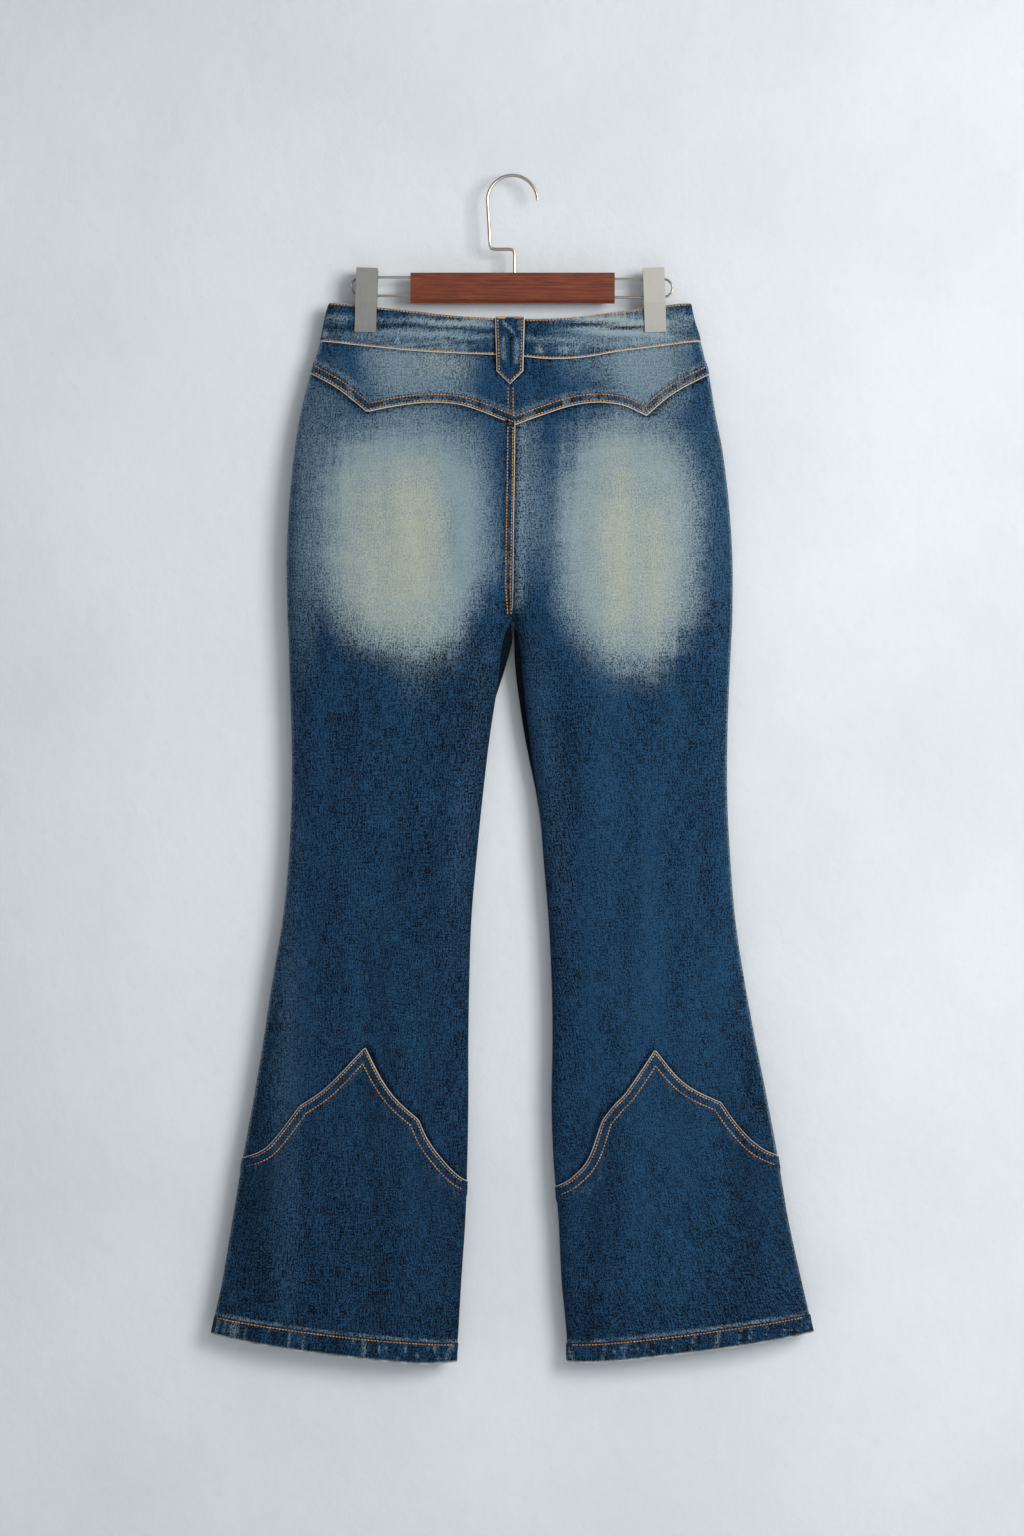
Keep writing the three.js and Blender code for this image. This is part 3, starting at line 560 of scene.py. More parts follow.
def wear_group():
    group, tree, given, made = new_group(
        "Wear",
        [("Color", "Color", (0, 0, 0, 1)), ("Worn color", "Color", (1, 1, 1, 1)),
         ("Mask", "Float", 0.0), ("Grain", "Float", 0.5), ("Grain share", "Float", 0.5)],
        [("Color", "Color")])
    centred = tree.math("MULTIPLY", tree.math("SUBTRACT", given["Grain"], 0.5), given["Grain share"])
    live = tree.math("MULTIPLY", given["Mask"], 2.0, clamp=True)
    live = tree.math("MULTIPLY", live, tree.math("SUBTRACT", 1.32, given["Mask"]))
    share = tree.math("ADD", given["Mask"], tree.math("MULTIPLY", centred, live), clamp=True)
    tree.put(made["Color"], tree.mix(share, given["Color"], given["Worn color"]))
    return group


weave = weave_group()
wear = wear_group()


def denim(name, deep, light):
    """Indigo twill that bleaches where the masks say so."""
    material, tree, shader, _ = new_material(name)
    uv = tree.add("UVMap", {"uv_map": "Cloth"}).outputs[0]
    woven = tree.group(weave, Vector=uv, Thread_mm=1.15)
    grain = woven.outputs["Grain"]
    blotch = tree.noise(uv, (34, 17), detail=2)
    tone = tree.math("ADD", woven.outputs["Threads"], tree.ramp(blotch, 0.3, 0.7, -0.28, -0.14))
    # The wash mask holds thinner dye and also painted light and shade. With the fades it shifts the
    # indigo's tone.
    thinning_and_painted_shading = tree.total((tree.attribute("wash"), 0.5), (tree.attribute("fade"), 0.85))
    tone = tree.math("ADD", tone, thinning_and_painted_shading, clamp=True)
    color = tree.mix(tone, deep, light)
    steps = (
        ("inside", srgb(112, 128, 145), 0.25), ("fade", srgb(133, 152, 159), 0.9),
        ("cream", srgb(175, 178, 159), 0.9), ("rub", srgb(142, 164, 178), 1.0),
        ("edge", srgb(208, 210, 200), 0.3),
    )
    for mask, worn, share in steps:
        bleached = tree.group(wear, Color=color, Worn_color=worn, Mask=tree.attribute(mask),
                              Grain=grain, Grain_share=share)
        color = bleached.outputs["Color"]
    tree.give(shader, Base_Color=color, Roughness=0.88, Specular_IOR_Level=0.1,
              Sheen_Weight=0.02, Sheen_Roughness=0.5)
    tree.bump(shader, woven.outputs["Height"], strength=0.5, distance=0.0004)
    return material


body_denim = denim("indigo_denim", deep=srgb(0, 7, 18), light=srgb(36, 74, 107))
print("denim ready:", body_denim.name)

# %% [markdown]
# ## Making a wall of cloth
# A piece of cloth is a grid of points for its face and another for its wrong side, joined round the
# edge. A Solidify modifier would make the same wall, but here the masks and the cloth coordinates
# are written while the grid is known. Rows lie close together beside a seam, where the cloth is
# lapped, and wide apart elsewhere.

# %% Grid tools
CLOTH = 1.1
MEETING_STEPS = 15
MASKS = ("wash", "fade", "cream", "rub", "edge", "inside")


def wall_mesh(name, outer, inner, masks, ring=False):
    """A closed denim mesh between two grids of points in millimetres, with masks from 0 to 1."""
    rows, cols = outer.shape[:2]
    size = rows * cols
    index = np.arange(size).reshape(rows, cols)
    if ring:
        index = np.concatenate([index, index[:, :1]], axis=1)

    def quads(block):
        sides = (block[:-1, :-1], block[1:, :-1], block[1:, 1:], block[:-1, 1:])
        return np.stack(sides, -1).reshape(-1, 4)

    def strip(edge):
        return np.stack([edge[:-1], edge[1:], edge[1:] + size, edge[:-1] + size], -1)

    faces = [quads(index), quads(index)[:, ::-1] + size, strip(index[0]), strip(index[-1])[:, ::-1]]
    if not ring:
        faces += [strip(index[:, 0])[:, ::-1], strip(index[:, -1])]
    faces = np.concatenate(faces)
    points = np.concatenate([outer.reshape(-1, 3), inner.reshape(-1, 3)])
    a, b, c = (points[faces[:, i]] for i in range(3))
    if np.einsum("ij,ij->i", a, np.cross(b, c)).sum() < 0:
        faces = faces[:, ::-1]
    mesh = bpy.data.meshes.new(name)
    mesh.from_pydata((points * MM).tolist(), [], faces.tolist())
    mesh.polygons.foreach_set("use_smooth", np.ones(len(faces), bool))

    steps = np.linalg.norm(np.diff(outer, axis=1), axis=2)
    along = np.concatenate([np.zeros((rows, 1)), np.cumsum(steps, axis=1)], axis=1)
    along += (outer[:, cols // 2, 0] - along[:, cols // 2])[:, None]
    on_cloth_mm = np.stack([along, outer[..., 2]], -1).reshape(-1, 2)
    flat_uv = np.concatenate([on_cloth_mm, on_cloth_mm])[faces.ravel()] * MM
    mesh.uv_layers.new(name="Cloth").data.foreach_set("uv", flat_uv.astype(np.float32).ravel())
    for mask in MASKS:
        face = np.broadcast_to(masks.get(mask, 0.0), (rows, cols)).ravel()
        back = {"inside": np.ones(size), "edge": face}.get(mask, np.zeros(size))
        values = np.concatenate([face, back]).astype(np.float32)
        mesh.attributes.new(mask, "FLOAT", "POINT").data.foreach_set("value", values)
    mesh.materials.append(body_denim)
    return add_object(name, mesh)


def levels(start, end, near_top, near_bottom, pitch):
    """Levels for each column: set distances beside both seams and even steps between."""
    first = start + near_top[-1]
    last = end - near_bottom[-1]
    steps = max(2, round(float(np.max(last - first)) / pitch))
    between = [first + (last - first) * i / steps for i in range(1, steps)]
    beside_top = [start + d for d in near_top]
    beside_bottom = [end - d for d in reversed(near_bottom)]
    return np.stack(beside_top + between + beside_bottom)


def spread(width, near_out, near_in, pitch):
    """Places across from -1 to 1 for a cloth of about this width."""
    low = -1 + 2 * near_out[-1] / width
    high = 1 - 2 * near_in[-1] / width
    steps = round((high - low) * width / 2 / pitch)
    out = [-1 + 2 * d / width for d in near_out]
    inner = [1 - 2 * d / width for d in reversed(near_in)]
    return np.array(out + [low + (high - low) * i / steps for i in range(1, steps)] + inner)


def meet(side, face, places, line):
    """The level where each place across meets a seam line."""
    down = CROTCH
    for _ in range(MEETING_STEPS):
        down = line(cloth(side, face, places, down)[..., 0])
    return down


def wave(spacing, low=-420.0, high=1250.0):
    """A smooth curve of random heights from -1 to 1, with unevenly spaced turns."""
    places = np.arange(low, high, spacing)
    places = places + rng.uniform(-0.3, 0.3, len(places)) * spacing
    return smooth(places, rng.uniform(-1, 1, len(places)))


# Distances of the grid's lines from a lapped seam, a plain seam, a hem, a side and a split
SEAM_ROWS = [0, 0.45, 1.0, 1.7, 2.6, 3.8, 5, 6.5, 7.8, 9, 10, 11.2, 12.6, 14.5, 17]
PLAIN_ROWS = [0, 1, 2.5, 5]
HEM_ROWS = [0, 0.8, 1.8, 3, 5, 8]
SIDE_COLUMNS = [0, 0.5, 1.4, 3, 5.5, 9]
SPLIT_ROWS = [0, 1.5, 3.5]
print("cloth is", CLOTH, "mm thick")

# %% [markdown]
# ## Laps, puckers and worn places
# Where two pieces are sewn, the upper one is folded under and lies on the lower one, so its last
# centimetre stands proud by nearly a cloth's thickness. The thread draws the cloth in, which gives
# short puckers across the seam, and their tops wear pale. The large worn patches are soft boxes
# whose rims are broken up by waves that differ from thread to thread.

# %% Laps, puckers and fades
LAP = 0.9
UNDERLAP = 4.5
# The stitch rows of each lapped seam, as distances from its edge
YOKE_ROWS, CALF_ROWS, CENTRE_ROWS = (2.3, 8.4), (2.4, 9.6), (2.4, 7.4)
# Where the belt loop lies
LOOP_LEFT, LOOP_RIGHT, LOOP_TOP, LOOP_SHOULDER, LOOP_TIP = -17.2, 12.2, 140.2, 195.0, 208.4
LOOP_MIDDLE = (LOOP_LEFT + LOOP_RIGHT) / 2
LOOP_HALF = (LOOP_RIGHT - LOOP_LEFT) / 2


def held_down(distance, rows):
    """1 away from the rows of stitches and 0 on them, where the thread holds the cloth flat."""
    free = 1.0
    for row in rows:
        free = free * (1 - np.exp(-(((distance - row) / 1.5) ** 2)))
    return free


def lap(distance, wide=10.0, rise=LAP):
    """Height of a folded edge at a distance from the fold."""
    rounded = np.sqrt(1 - (1 - np.clip(distance / 0.9, 0, 1)) ** 2) * 0.45 + 0.55
    return rise * rounded * (1 - smoothstep(distance, wide - 1, wide + 3))


def fold_edge(distance):
    """The pale line that rubbing leaves along a folded edge."""
    return 1 - smoothstep(distance, 0.45, 1.1)


def soft_box(x, down, middle, size, blur=0.45, power=2.6):
    across = np.abs((x - middle[0]) / size[0]) ** power
    along = np.abs((down - middle[1]) / size[1]) ** power
    return 1 - smoothstep((across + along) ** (1 / power), 1 - blur, 1 + blur)


streaks_x = [wave(s) for s in (2.6, 7, 23)]
streaks_down = [wave(s) for s in (3.1, 11, 34)]


def streaky(x, down):
    """Unevenness with long upright threads and shorter level ones."""
    upright = 0.4 * streaks_x[0](x + 0.06 * down) + 0.3 * streaks_x[1](x - 0.03 * down)
    level = 0.3 * streaks_down[0](down + 0.1 * x) + 0.35 * streaks_down[1](down - 0.22 * x)
    broad = 0.6 * streaks_x[2](x + 0.4 * down) * streaks_down[2](down - 0.3 * x)
    return upright + level + broad


# Worn patches on the back: x, down, half width, half height, blur, strength
FADES = [
    (-107, 352, 83, 106, 0.3, 0.94), (-98, 428, 50, 46, 0.45, 0.56), (-96, 474, 18, 40, 0.8, 0.1),
    (113, 358, 69, 108, 0.32, 0.97), (121, 438, 41, 48, 0.45, 0.56), (112, 476, 30, 28, 0.8, 0.12),
    (-84, 262, 62, 22, 0.6, 0.14), (120, 258, 54, 22, 0.6, 0.12), (-178, 240, 16, 40, 0.9, 0.2),
    (-90, 192, 44, 36, 0.6, 0.6), (136, 190, 36, 44, 0.6, 0.62), (100, 180, 44, 24, 0.7, 0.3),
    (-128, 186, 20, 26, 0.8, 0.3), (18, 320, 13, 66, 0.8, 0.3),
    (-206, 330, 15, 110, 0.8, 0.34), (202, 330, 14, 110, 0.8, 0.06), (-226, 720, 12, 300, 0.9, 0.05),
    (-62, 151, 44, 8, 0.8, 0.75), (-72, 165, 60, 5, 0.9, 0.3), (112, 149, 48, 14, 0.8, 0.97),
    (114, 147, 44, 9, 0.6, 0.6),
    (128, 165, 44, 6, 0.9, 0.35), (-178, 152, 12, 12, 0.9, 0.3), (-146, 160, 24, 6, 0.9, 0.3),
    (60, 165, 30, 5, 0.9, 0.2),
]
CREAMS = [
    (-126, 374, 44, 76, 0.7, 0.5), (-90, 352, 20, 56, 0.8, 0.55), (-92, 440, 34, 40, 0.9, 0.25),
    (120, 376, 48, 88, 0.7, 0.35), (106, 378, 13, 76, 0.8, 0.55), (142, 404, 13, 66, 0.9, 0.35),
    (-66, 149, 30, 4, 0.9, 0.4), (108, 147, 34, 8, 0.8, 0.5), (-70, 186, 22, 10, 0.9, 0.2),
]
# Areas of thinner dye on both faces, in the same columns
WASHES = [
    (0, 250, 260, 200, 0.5, 0.68), (-150, 680, 90, 330, 0.7, 0.25), (130, 690, 96, 360, 0.7, 0.55),
    (60, 560, 26, 150, 0.9, 0.3), (-60, 1000, 60, 200, 0.9, 0.1), (180, 1000, 80, 200, 0.9, 0.2),
    (-215, 760, 24, 340, 0.9, 0.3), (-100, 620, 20, 160, 0.9, 0.2), (150, 860, 26, 180, 0.9, 0.2),
]
FRONT_FADES = [(-108, 420, 74, 190, 0.6, 0.6), (108, 420, 74, 190, 0.6, 0.6)]
FRONT_CREAMS = [(-108, 420, 40, 140, 0.8, 0.3), (108, 420, 40, 140, 0.8, 0.3)]


def worn(table, x, down):
    """How worn the cloth is, from a table of patches."""
    uneven = streaky(x, down)
    left = 1.0
    for middle_x, middle_down, wide, tall, blur, strength in table:
        soft = soft_box(x + 5 * uneven, down + 9 * uneven, (middle_x, middle_down), (wide, tall), blur)
        left = left * (1 - strength * soft * (1 + 0.12 * uneven))
    return np.clip(1 - left, 0, 1)


def fade_masks(face, x, down):
    fades, creams = (FADES, CREAMS) if face == "back" else (FRONT_FADES, FRONT_CREAMS)
    bands = 0.2 * streaks_x[2](x + 0.08 * down) + 0.1 * streaks_x[1](x - 0.05 * down)
    return {"wash": worn(WASHES, x, down) + bands, "fade": worn(fades, x, down),
            "cream": worn(creams, x, down)}


unevenness = [(rng.uniform(0, 2 * np.pi), rng.uniform(-0.9, 0.9), rng.uniform(24, 80),
               rng.uniform(0.03, 0.09)) for _ in range(22)]


def wobble(x, down):
    """Broad, shallow waves over a whole face."""
    height = 0.0
    for phase, slope, length, high in unevenness:
        height = height + high * np.sin(phase + (x + slope * down * 0.3) * 2 * np.pi / length)
    return height


def waves(x, down):
    """The slight waviness of cloth that hangs free, with none at the side seams and the centre."""
    edges_x = [outline[name](down) for name in ("left_out", "left_in", "right_in", "right_out")]
    nearest = np.min([np.abs(x - edge) for edge in edges_x], axis=0)
    hangs = smoothstep(down, PINCH_END, FULL_DEPTH)
    return wobble(x, down) * np.minimum(1, nearest / 12) * (0.25 + 0.75 * hangs)


pucker_waves = {spacing: wave(spacing) for spacing in (3.5, 6.5, 9, 13)}


def puckers(along, distance, spacing=6.5, reach=9.0, high=0.35, shift=0.0):
    """Short waves across a seam, highest a few millimetres from it."""
    broad = 0.8 * pucker_waves[spacing](along + shift)
    short = 0.35 * pucker_waves[3.5](along * 0.9 + shift)
    return high * (broad + short) * np.exp(-((distance - 3) / reach) ** 2)


print("worn patches:", len(FADES) + len(CREAMS))

# %% [markdown]
# ## The panels
# Each panel says where it starts and ends, how dense its grid is and how far it stands off the
# plain surface. The yokes lap the backs, and the flares lap the backs at the calf: the panel
# underneath goes on for a few millimetres under the one that laps it. At the centre seam the left
# back stands proud of the right one.

# %% Panels
pieces = {}


def panel(name, side, face, top, bottom, places, near_top, near_bottom, pitch, relief, split=None):
    """Build one panel. relief gives the heights of its face and wrong side, and its masks.

    Among the masks may be keep, which weakens the worn patches, and dark, which is painted shade that
    darkens the dye. split is a level that gets a row of its own.
    """
    start = meet(side, face, places, top)
    end = meet(side, face, places, bottom)
    if split is None:
        down = levels(start, end, near_top, near_bottom, pitch)
    else:
        middle = np.full(start.shape, float(split))
        upper = levels(start, middle, near_top, SPLIT_ROWS, pitch)
        lower = levels(middle, end, SPLIT_ROWS, near_bottom, pitch)
        down = np.concatenate([upper, lower[1:]])
    across = np.broadcast_to(places, down.shape)
    x = cloth(side, face, across, down)[..., 0]
    out, inner_edge = side_edges(side, down)
    reach = {"x": x, "down": down, "top": (down - start) / steepness(top, x),
             "bottom": (end - down) / steepness(bottom, x),
             "out": np.abs(x - out), "inner": np.abs(x - inner_edge)}
    height, under, masks = relief(reach)
    keep = masks.pop("keep", 1.0)
    dark = masks.pop("dark", 0.0)
    masks = {**{key: keep * value for key, value in fade_masks(face, x, down).items()}, **masks}
    # dark is painted shade: it darkens the dye under lapped edges, round the belt loop and on the
    # front's inner thigh.
    masks["wash"] = masks["wash"] - dark
    # Folds below the crotch are paler on their ridges and darker in their troughs: partly wear, partly
    # painted light and shade.
    ridge = fold_height(face, x, down) * smoothstep(down, CROTCH - 40, CROTCH + 20)
    masks["wash"] = masks["wash"] + 0.12 * ridge
    outer = cloth(side, face, across, down, height + waves(x, down))
    inner = cloth(side, face, across, down, under)
    pieces[name] = wall_mesh(name, outer, inner, masks)


def steepness(line, x, span=2.5):
    """How much longer a level step is along a sloping line. It turns depths into distances."""
    return np.hypot(1, (line(x + span) - line(x - span)) / (2 * span))


def sewn_flat(distance, first=1.5, last=9.0, deep=0.7):
    """Cloth keeps its dye where it is sewn down, between the rows of a lapped seam."""
    inside = smoothstep(distance, first - 1, first + 0.5) * (1 - smoothstep(distance, last, last + 3))
    return 1 - deep * inside


def in_shade(distance, wide=4.0, deep=0.75):
    """Cloth keeps its dye right beside a lapped edge: partly less wear there, partly painted shade."""
    return 1 - deep * np.exp(-((distance / wide) ** 2))


def painted_shadow_line(distance, wide=1.6):
    """The painted shadow line under a lapped edge."""
    return np.exp(-((np.maximum(distance, 0) / wide) ** 2))


def beside_loop(x, down):
    """How near a place is to the rim of the belt loop, from 0 to 1."""
    aside = np.abs(x - LOOP_MIDDLE) - LOOP_HALF
    below = down - LOOP_TIP + (LOOP_TIP - LOOP_SHOULDER) * np.abs(x - LOOP_MIDDLE) / LOOP_HALF
    return np.exp(-((np.maximum(0, np.maximum(aside, below)) / 2.2) ** 2))


def side_rub(reach):
    return 0.35 * (1 - smoothstep(reach["out"], 0.6, 3.5))


def yoke_relief(reach):
    seam = reach["bottom"]
    height = lap(seam) + puckers(reach["x"], seam, 6.5, 8, 0.3) * held_down(seam, YOKE_ROWS)
    height += puckers(reach["x"], reach["top"], 9, 12, 0.3, 40)
    under = np.where(seam < UNDERLAP + 1.5, 0.1, -CLOTH)
    tops = np.clip(puckers(reach["x"], seam, 6.5, 8, 1.0), 0, 1) * (seam > 1)
    ridge = 0.35 * np.exp(-((seam - 11.5) / 2.2) ** 2)
    rub = np.clip(0.35 * tops + ridge * 0.5 + side_rub(reach), 0, 1)
    loop_shade = beside_loop(reach["x"], reach["down"])
    # Painted shade beside the waistband's edge and round the belt loop, with a painted shadow line
    # under the edge.
    keep = sewn_flat(seam) * in_shade(reach["top"], 3, 0.5) * (1 - 0.8 * loop_shade)
    dark = 0.8 * np.maximum(painted_shadow_line(reach["top"]), loop_shade)
    return height, under, {"rub": rub, "edge": fold_edge(seam), "keep": keep, "dark": dark}


def back_relief(side):
    def relief(reach):
        x, down, inner = reach["x"], reach["down"], reach["inner"]
        height = puckers(x, reach["top"], 6.5, 7, 0.2, 15)
        height += puckers(x, reach["bottom"], 6.5, 6, 0.25, 70)
        under = np.full(x.shape, -CLOTH)
        rub = side_rub(reach)
        edge = 0 * x
        # Painted shade and painted shadow lines under the lapped edges of the yoke and the flare.
        keep = in_shade(reach["top"] - UNDERLAP)
        dark = np.maximum(painted_shadow_line(reach["top"] - UNDERLAP), painted_shadow_line(reach["bottom"] - UNDERLAP))
        seat = 1 - smoothstep(down, CROTCH - 22, CROTCH - 2)
        centre = puckers(down, inner, 6.5, 7, 0.35, 500) * held_down(inner, CENTRE_ROWS)
        if side == "left":
            height = height + (lap(inner) + centre) * seat
            under = np.where((inner < UNDERLAP + 1.5) & (seat > 0.5), 0.1, under)
            rub = rub + 0.3 * np.clip(centre * 3, 0, 1) * seat
            edge = fold_edge(inner) * seat * 0.75
            keep = keep * np.where(seat > 0, sewn_flat(inner), 1)
        else:
            # Painted shade and a painted shadow line beside the left back's lapped edge at the centre.
            keep = keep * np.where(seat > 0, in_shade(inner, 5), 1)
            dark = np.maximum(dark, painted_shadow_line(inner) * seat)
            height = height + 0.6 * centre * seat
            rub = rub + 0.28 * np.exp(-((inner - 7) / 5) ** 2) * seat
        thigh = smoothstep(down, CROTCH, CROTCH + 40) * (1 - smoothstep(down, 620, 860))
        rub = rub + thigh * 0.02 * np.exp(-((inner - 16) / 12) ** 2)
        return height, under, {"rub": np.clip(rub, 0, 1), "edge": edge, "keep": keep, "dark": dark}
    return relief


def flare_relief(reach):
    x, seam = reach["x"], reach["top"]
    slope_run = x + 0.8 * reach["down"]
    height = lap(seam, 12.5) + puckers(slope_run, seam, 6.5, 9, 0.3, 90) * held_down(seam, CALF_ROWS)
    height += puckers(x, reach["bottom"], 9, 8, 0.25, 30)
    under = np.where(seam < UNDERLAP + 1.5, 0.1, -CLOTH)
    spots = np.clip(puckers(slope_run, seam - 10, 3.5, 2.2, 1.3, 90), 0, 1)
    ridge = np.exp(-((reach["bottom"] - 2.2) / 1.3) ** 2) * (0.55 + 0.4 * pucker_waves[13](x))
    rub = 0.09 * spots + 0.5 * np.clip(ridge, 0, 1) + 0.6 * side_rub(reach)
    return height, under, {"rub": np.clip(rub, 0, 1), "edge": fold_edge(seam) * 0.8}


def front_relief(reach):
    x = reach["x"]
    height = puckers(x, reach["top"], 9, 10, 0.3, 20)
    height += puckers(x, reach["bottom"], 9, 8, 0.25, 60)
    ridge = np.exp(-((reach["bottom"] - 2.2) / 1.3) ** 2) * 0.5
    # Painted shade on the front's inner thigh just below the crotch, where it shows dark in the gap
    # between the legs. No wear there.
    thigh = smoothstep(reach["down"], CROTCH - 12, CROTCH)
    thigh = thigh * (1 - smoothstep(reach["down"], 540, 700))
    dark = 1.2 * thigh * (1 - smoothstep(reach["inner"], 7, 20))
    keep = 1 - np.minimum(dark, 1)
    rub = np.clip((ridge + side_rub(reach)) * keep, 0, 1)
    return height, np.full(x.shape, -CLOTH), {"rub": rub, "dark": dark, "keep": keep}


def moved(line, amount):
    return lambda x: line(x) + amount


TUCKED_ROWS = PLAIN_ROWS + [8, 11]
seat_places = spread(205, SIDE_COLUMNS, SEAM_ROWS, 3.0)
front_places = spread(205, SIDE_COLUMNS, PLAIN_ROWS, 3.4)
flare_places = spread(240, SIDE_COLUMNS, SIDE_COLUMNS, 2.6)
for side in SIGN:
    panel(f"yoke_{side}", side, "back", waist_bottom, yoke_edge, seat_places,
          PLAIN_ROWS, SEAM_ROWS, 3.0, yoke_relief)
    panel(f"back_{side}", side, "back", moved(yoke_edge, -UNDERLAP), moved(calf[side], UNDERLAP),
          seat_places, TUCKED_ROWS, TUCKED_ROWS, 3.6, back_relief(side), split=CROTCH)
    panel(f"flare_back_{side}", side, "back", calf[side], hem_top, flare_places,
          SEAM_ROWS, HEM_ROWS, 3.6, flare_relief)
    panel(f"front_{side}", side, "front", front_bottom, hem_top, front_places,
          PLAIN_ROWS, HEM_ROWS, 4.6, front_relief, split=CROTCH)
print("panels:", len(pieces))

# %% [markdown]
# ## Waistband and hems
# Both are bands of doubled cloth that go round. The waistband wraps the side of each half, from the
# centre back to the centre front, and the hem is a whole ring, because a leg is a tube. The clips
# push the waistband into level ripples, and a hem twists as it is sewn, so it dries in slanting
# ropes.

# %% Bands
PROUD = 0.9
DOUBLED = 2.0
BAND_TALL = 38
HEM_TALL = 20


def band_rows(side, parts, places_of, stops):
    """Grids round a band: parts are (face, top line, bottom line) and run back first."""
    grids = {"down": [], "place": [], "face": []}
    for number, (face, top, bottom) in enumerate(parts):
        places = places_of(face)
        start = meet(side, face, places, top)
        end = meet(side, face, places, bottom)
        grids["down"].append(start + (end - start) * stops[:, None])
        grids["place"].append(np.broadcast_to(places, (len(stops), len(places))))
        grids["face"].append(np.full((len(stops), len(places)), number))
    return {key: np.concatenate(value, axis=1) for key, value in grids.items()}


def band_points(side, grid, off):
    back = cloth(side, "back", grid["place"], grid["down"], off)
    front = cloth(side, "front", grid["place"], grid["down"], off)
    return np.where((grid["face"] == 0)[..., None], back, front)


def add_band(name, side, grid, height, masks, ring=False):
    outer = band_points(side, grid, height)
    inner = band_points(side, grid, np.full(height.shape, PROUD - DOUBLED))
    pieces[name] = wall_mesh(name, outer, inner, masks, ring)


# Level ripples of the waistband: x, down, half width, half height, height
RIPPLES = [(-75, 146, 70, 2.6, 0.55), (-60, 152, 55, 2.4, -0.5), (-85, 158, 60, 2.8, 0.45),
           (110, 143, 60, 2.6, 0.55), (95, 149, 55, 2.4, -0.5), (118, 156, 60, 2.8, 0.5),
           (-178, 141, 20, 3.0, 0.4), (-168, 152, 26, 3.0, -0.4), (172, 140, 16, 3.0, 0.4),
           (40, 163, 40, 3.0, 0.35), (-40, 165, 30, 3.0, -0.3), (170, 158, 20, 3.0, -0.3)]


def ripples(x, down):
    height = 0.0
    for middle, level, wide, tall, high in RIPPLES:
        bent = level + 0.05 * (x - middle) + 1.6 * pucker_waves[13](x * 0.5 + level)
        height = height + high * np.exp(-((x - middle) / wide) ** 4 - ((down - bent) / tall) ** 2)
    return height


def waistband(side):
    near_edge = np.array([0, 0.012, 0.03, 0.055])
    stops = np.concatenate([near_edge, np.linspace(0.085, 0.915, 27), 1 - near_edge[::-1]])
    across = spread(190, SIDE_COLUMNS, PLAIN_ROWS, 2.6)

    def places_of(face):
        return across[1:][::-1] if face == "back" else across

    grid = band_rows(side, [("back", waist_top, waist_bottom), ("front", front_top, front_bottom)],
                     places_of, stops)
    x = band_points(side, grid, 0.0)[..., 0]
    down = grid["down"]
    stop = np.broadcast_to(stops[:, None], down.shape)
    from_bottom = (1 - stop) * BAND_TALL
    from_top = stop * BAND_TALL
    rounded = 0.5 * (1 - smoothstep(np.minimum(from_top, from_bottom), 0, 1.2))
    on_back = grid["face"] == 0
    ropes = puckers(x, from_bottom - 6, 9, 6, 0.5, 25)
    height = PROUD - rounded + np.where(on_back, ripples(x, down), 0) + ropes
    height += puckers(x, from_top, 6.5, 5, 0.2, 60)
    light = np.clip(puckers(x, from_bottom - 5, 6.5, 4, 0.7, 25), 0, 1) * (from_bottom > 2)
    # The ripples' crests get a painted highlight.
    light = light + np.clip(ripples(x, down) * 0.7, 0, 0.5) * on_back
    masks = {"rub": np.clip(light, 0, 1), "edge": fold_edge(from_bottom) + 0.5 * fold_edge(from_top)}
    back, front = fade_masks("back", x, down), fade_masks("front", x, down)
    # The fades follow the ripples, as painted light on their crests and painted shade in their
    # troughs, and also vary in random streaks.
    ripple_shading_and_streaks = 0.66 + 1.1 * ripples(x, down) + 0.25 * streaks_down[0](1.3 * down + 0.12 * x)
    ripple_shading_and_streaks = np.clip(ripple_shading_and_streaks, 0.05, 1.3)
    masks.update({key: np.where(on_back, back[key] * ripple_shading_and_streaks, front[key]) for key in back})
    # Painted shadow round the belt loop.
    loop_shade = beside_loop(x, down) * on_back
    for key in ("fade", "cream", "rub"):
        masks[key] = masks[key] * (1 - 0.8 * loop_shade)
    masks["wash"] = masks["wash"] - 0.8 * loop_shade
    add_band(f"waistband_{side}", side, grid, height, masks)


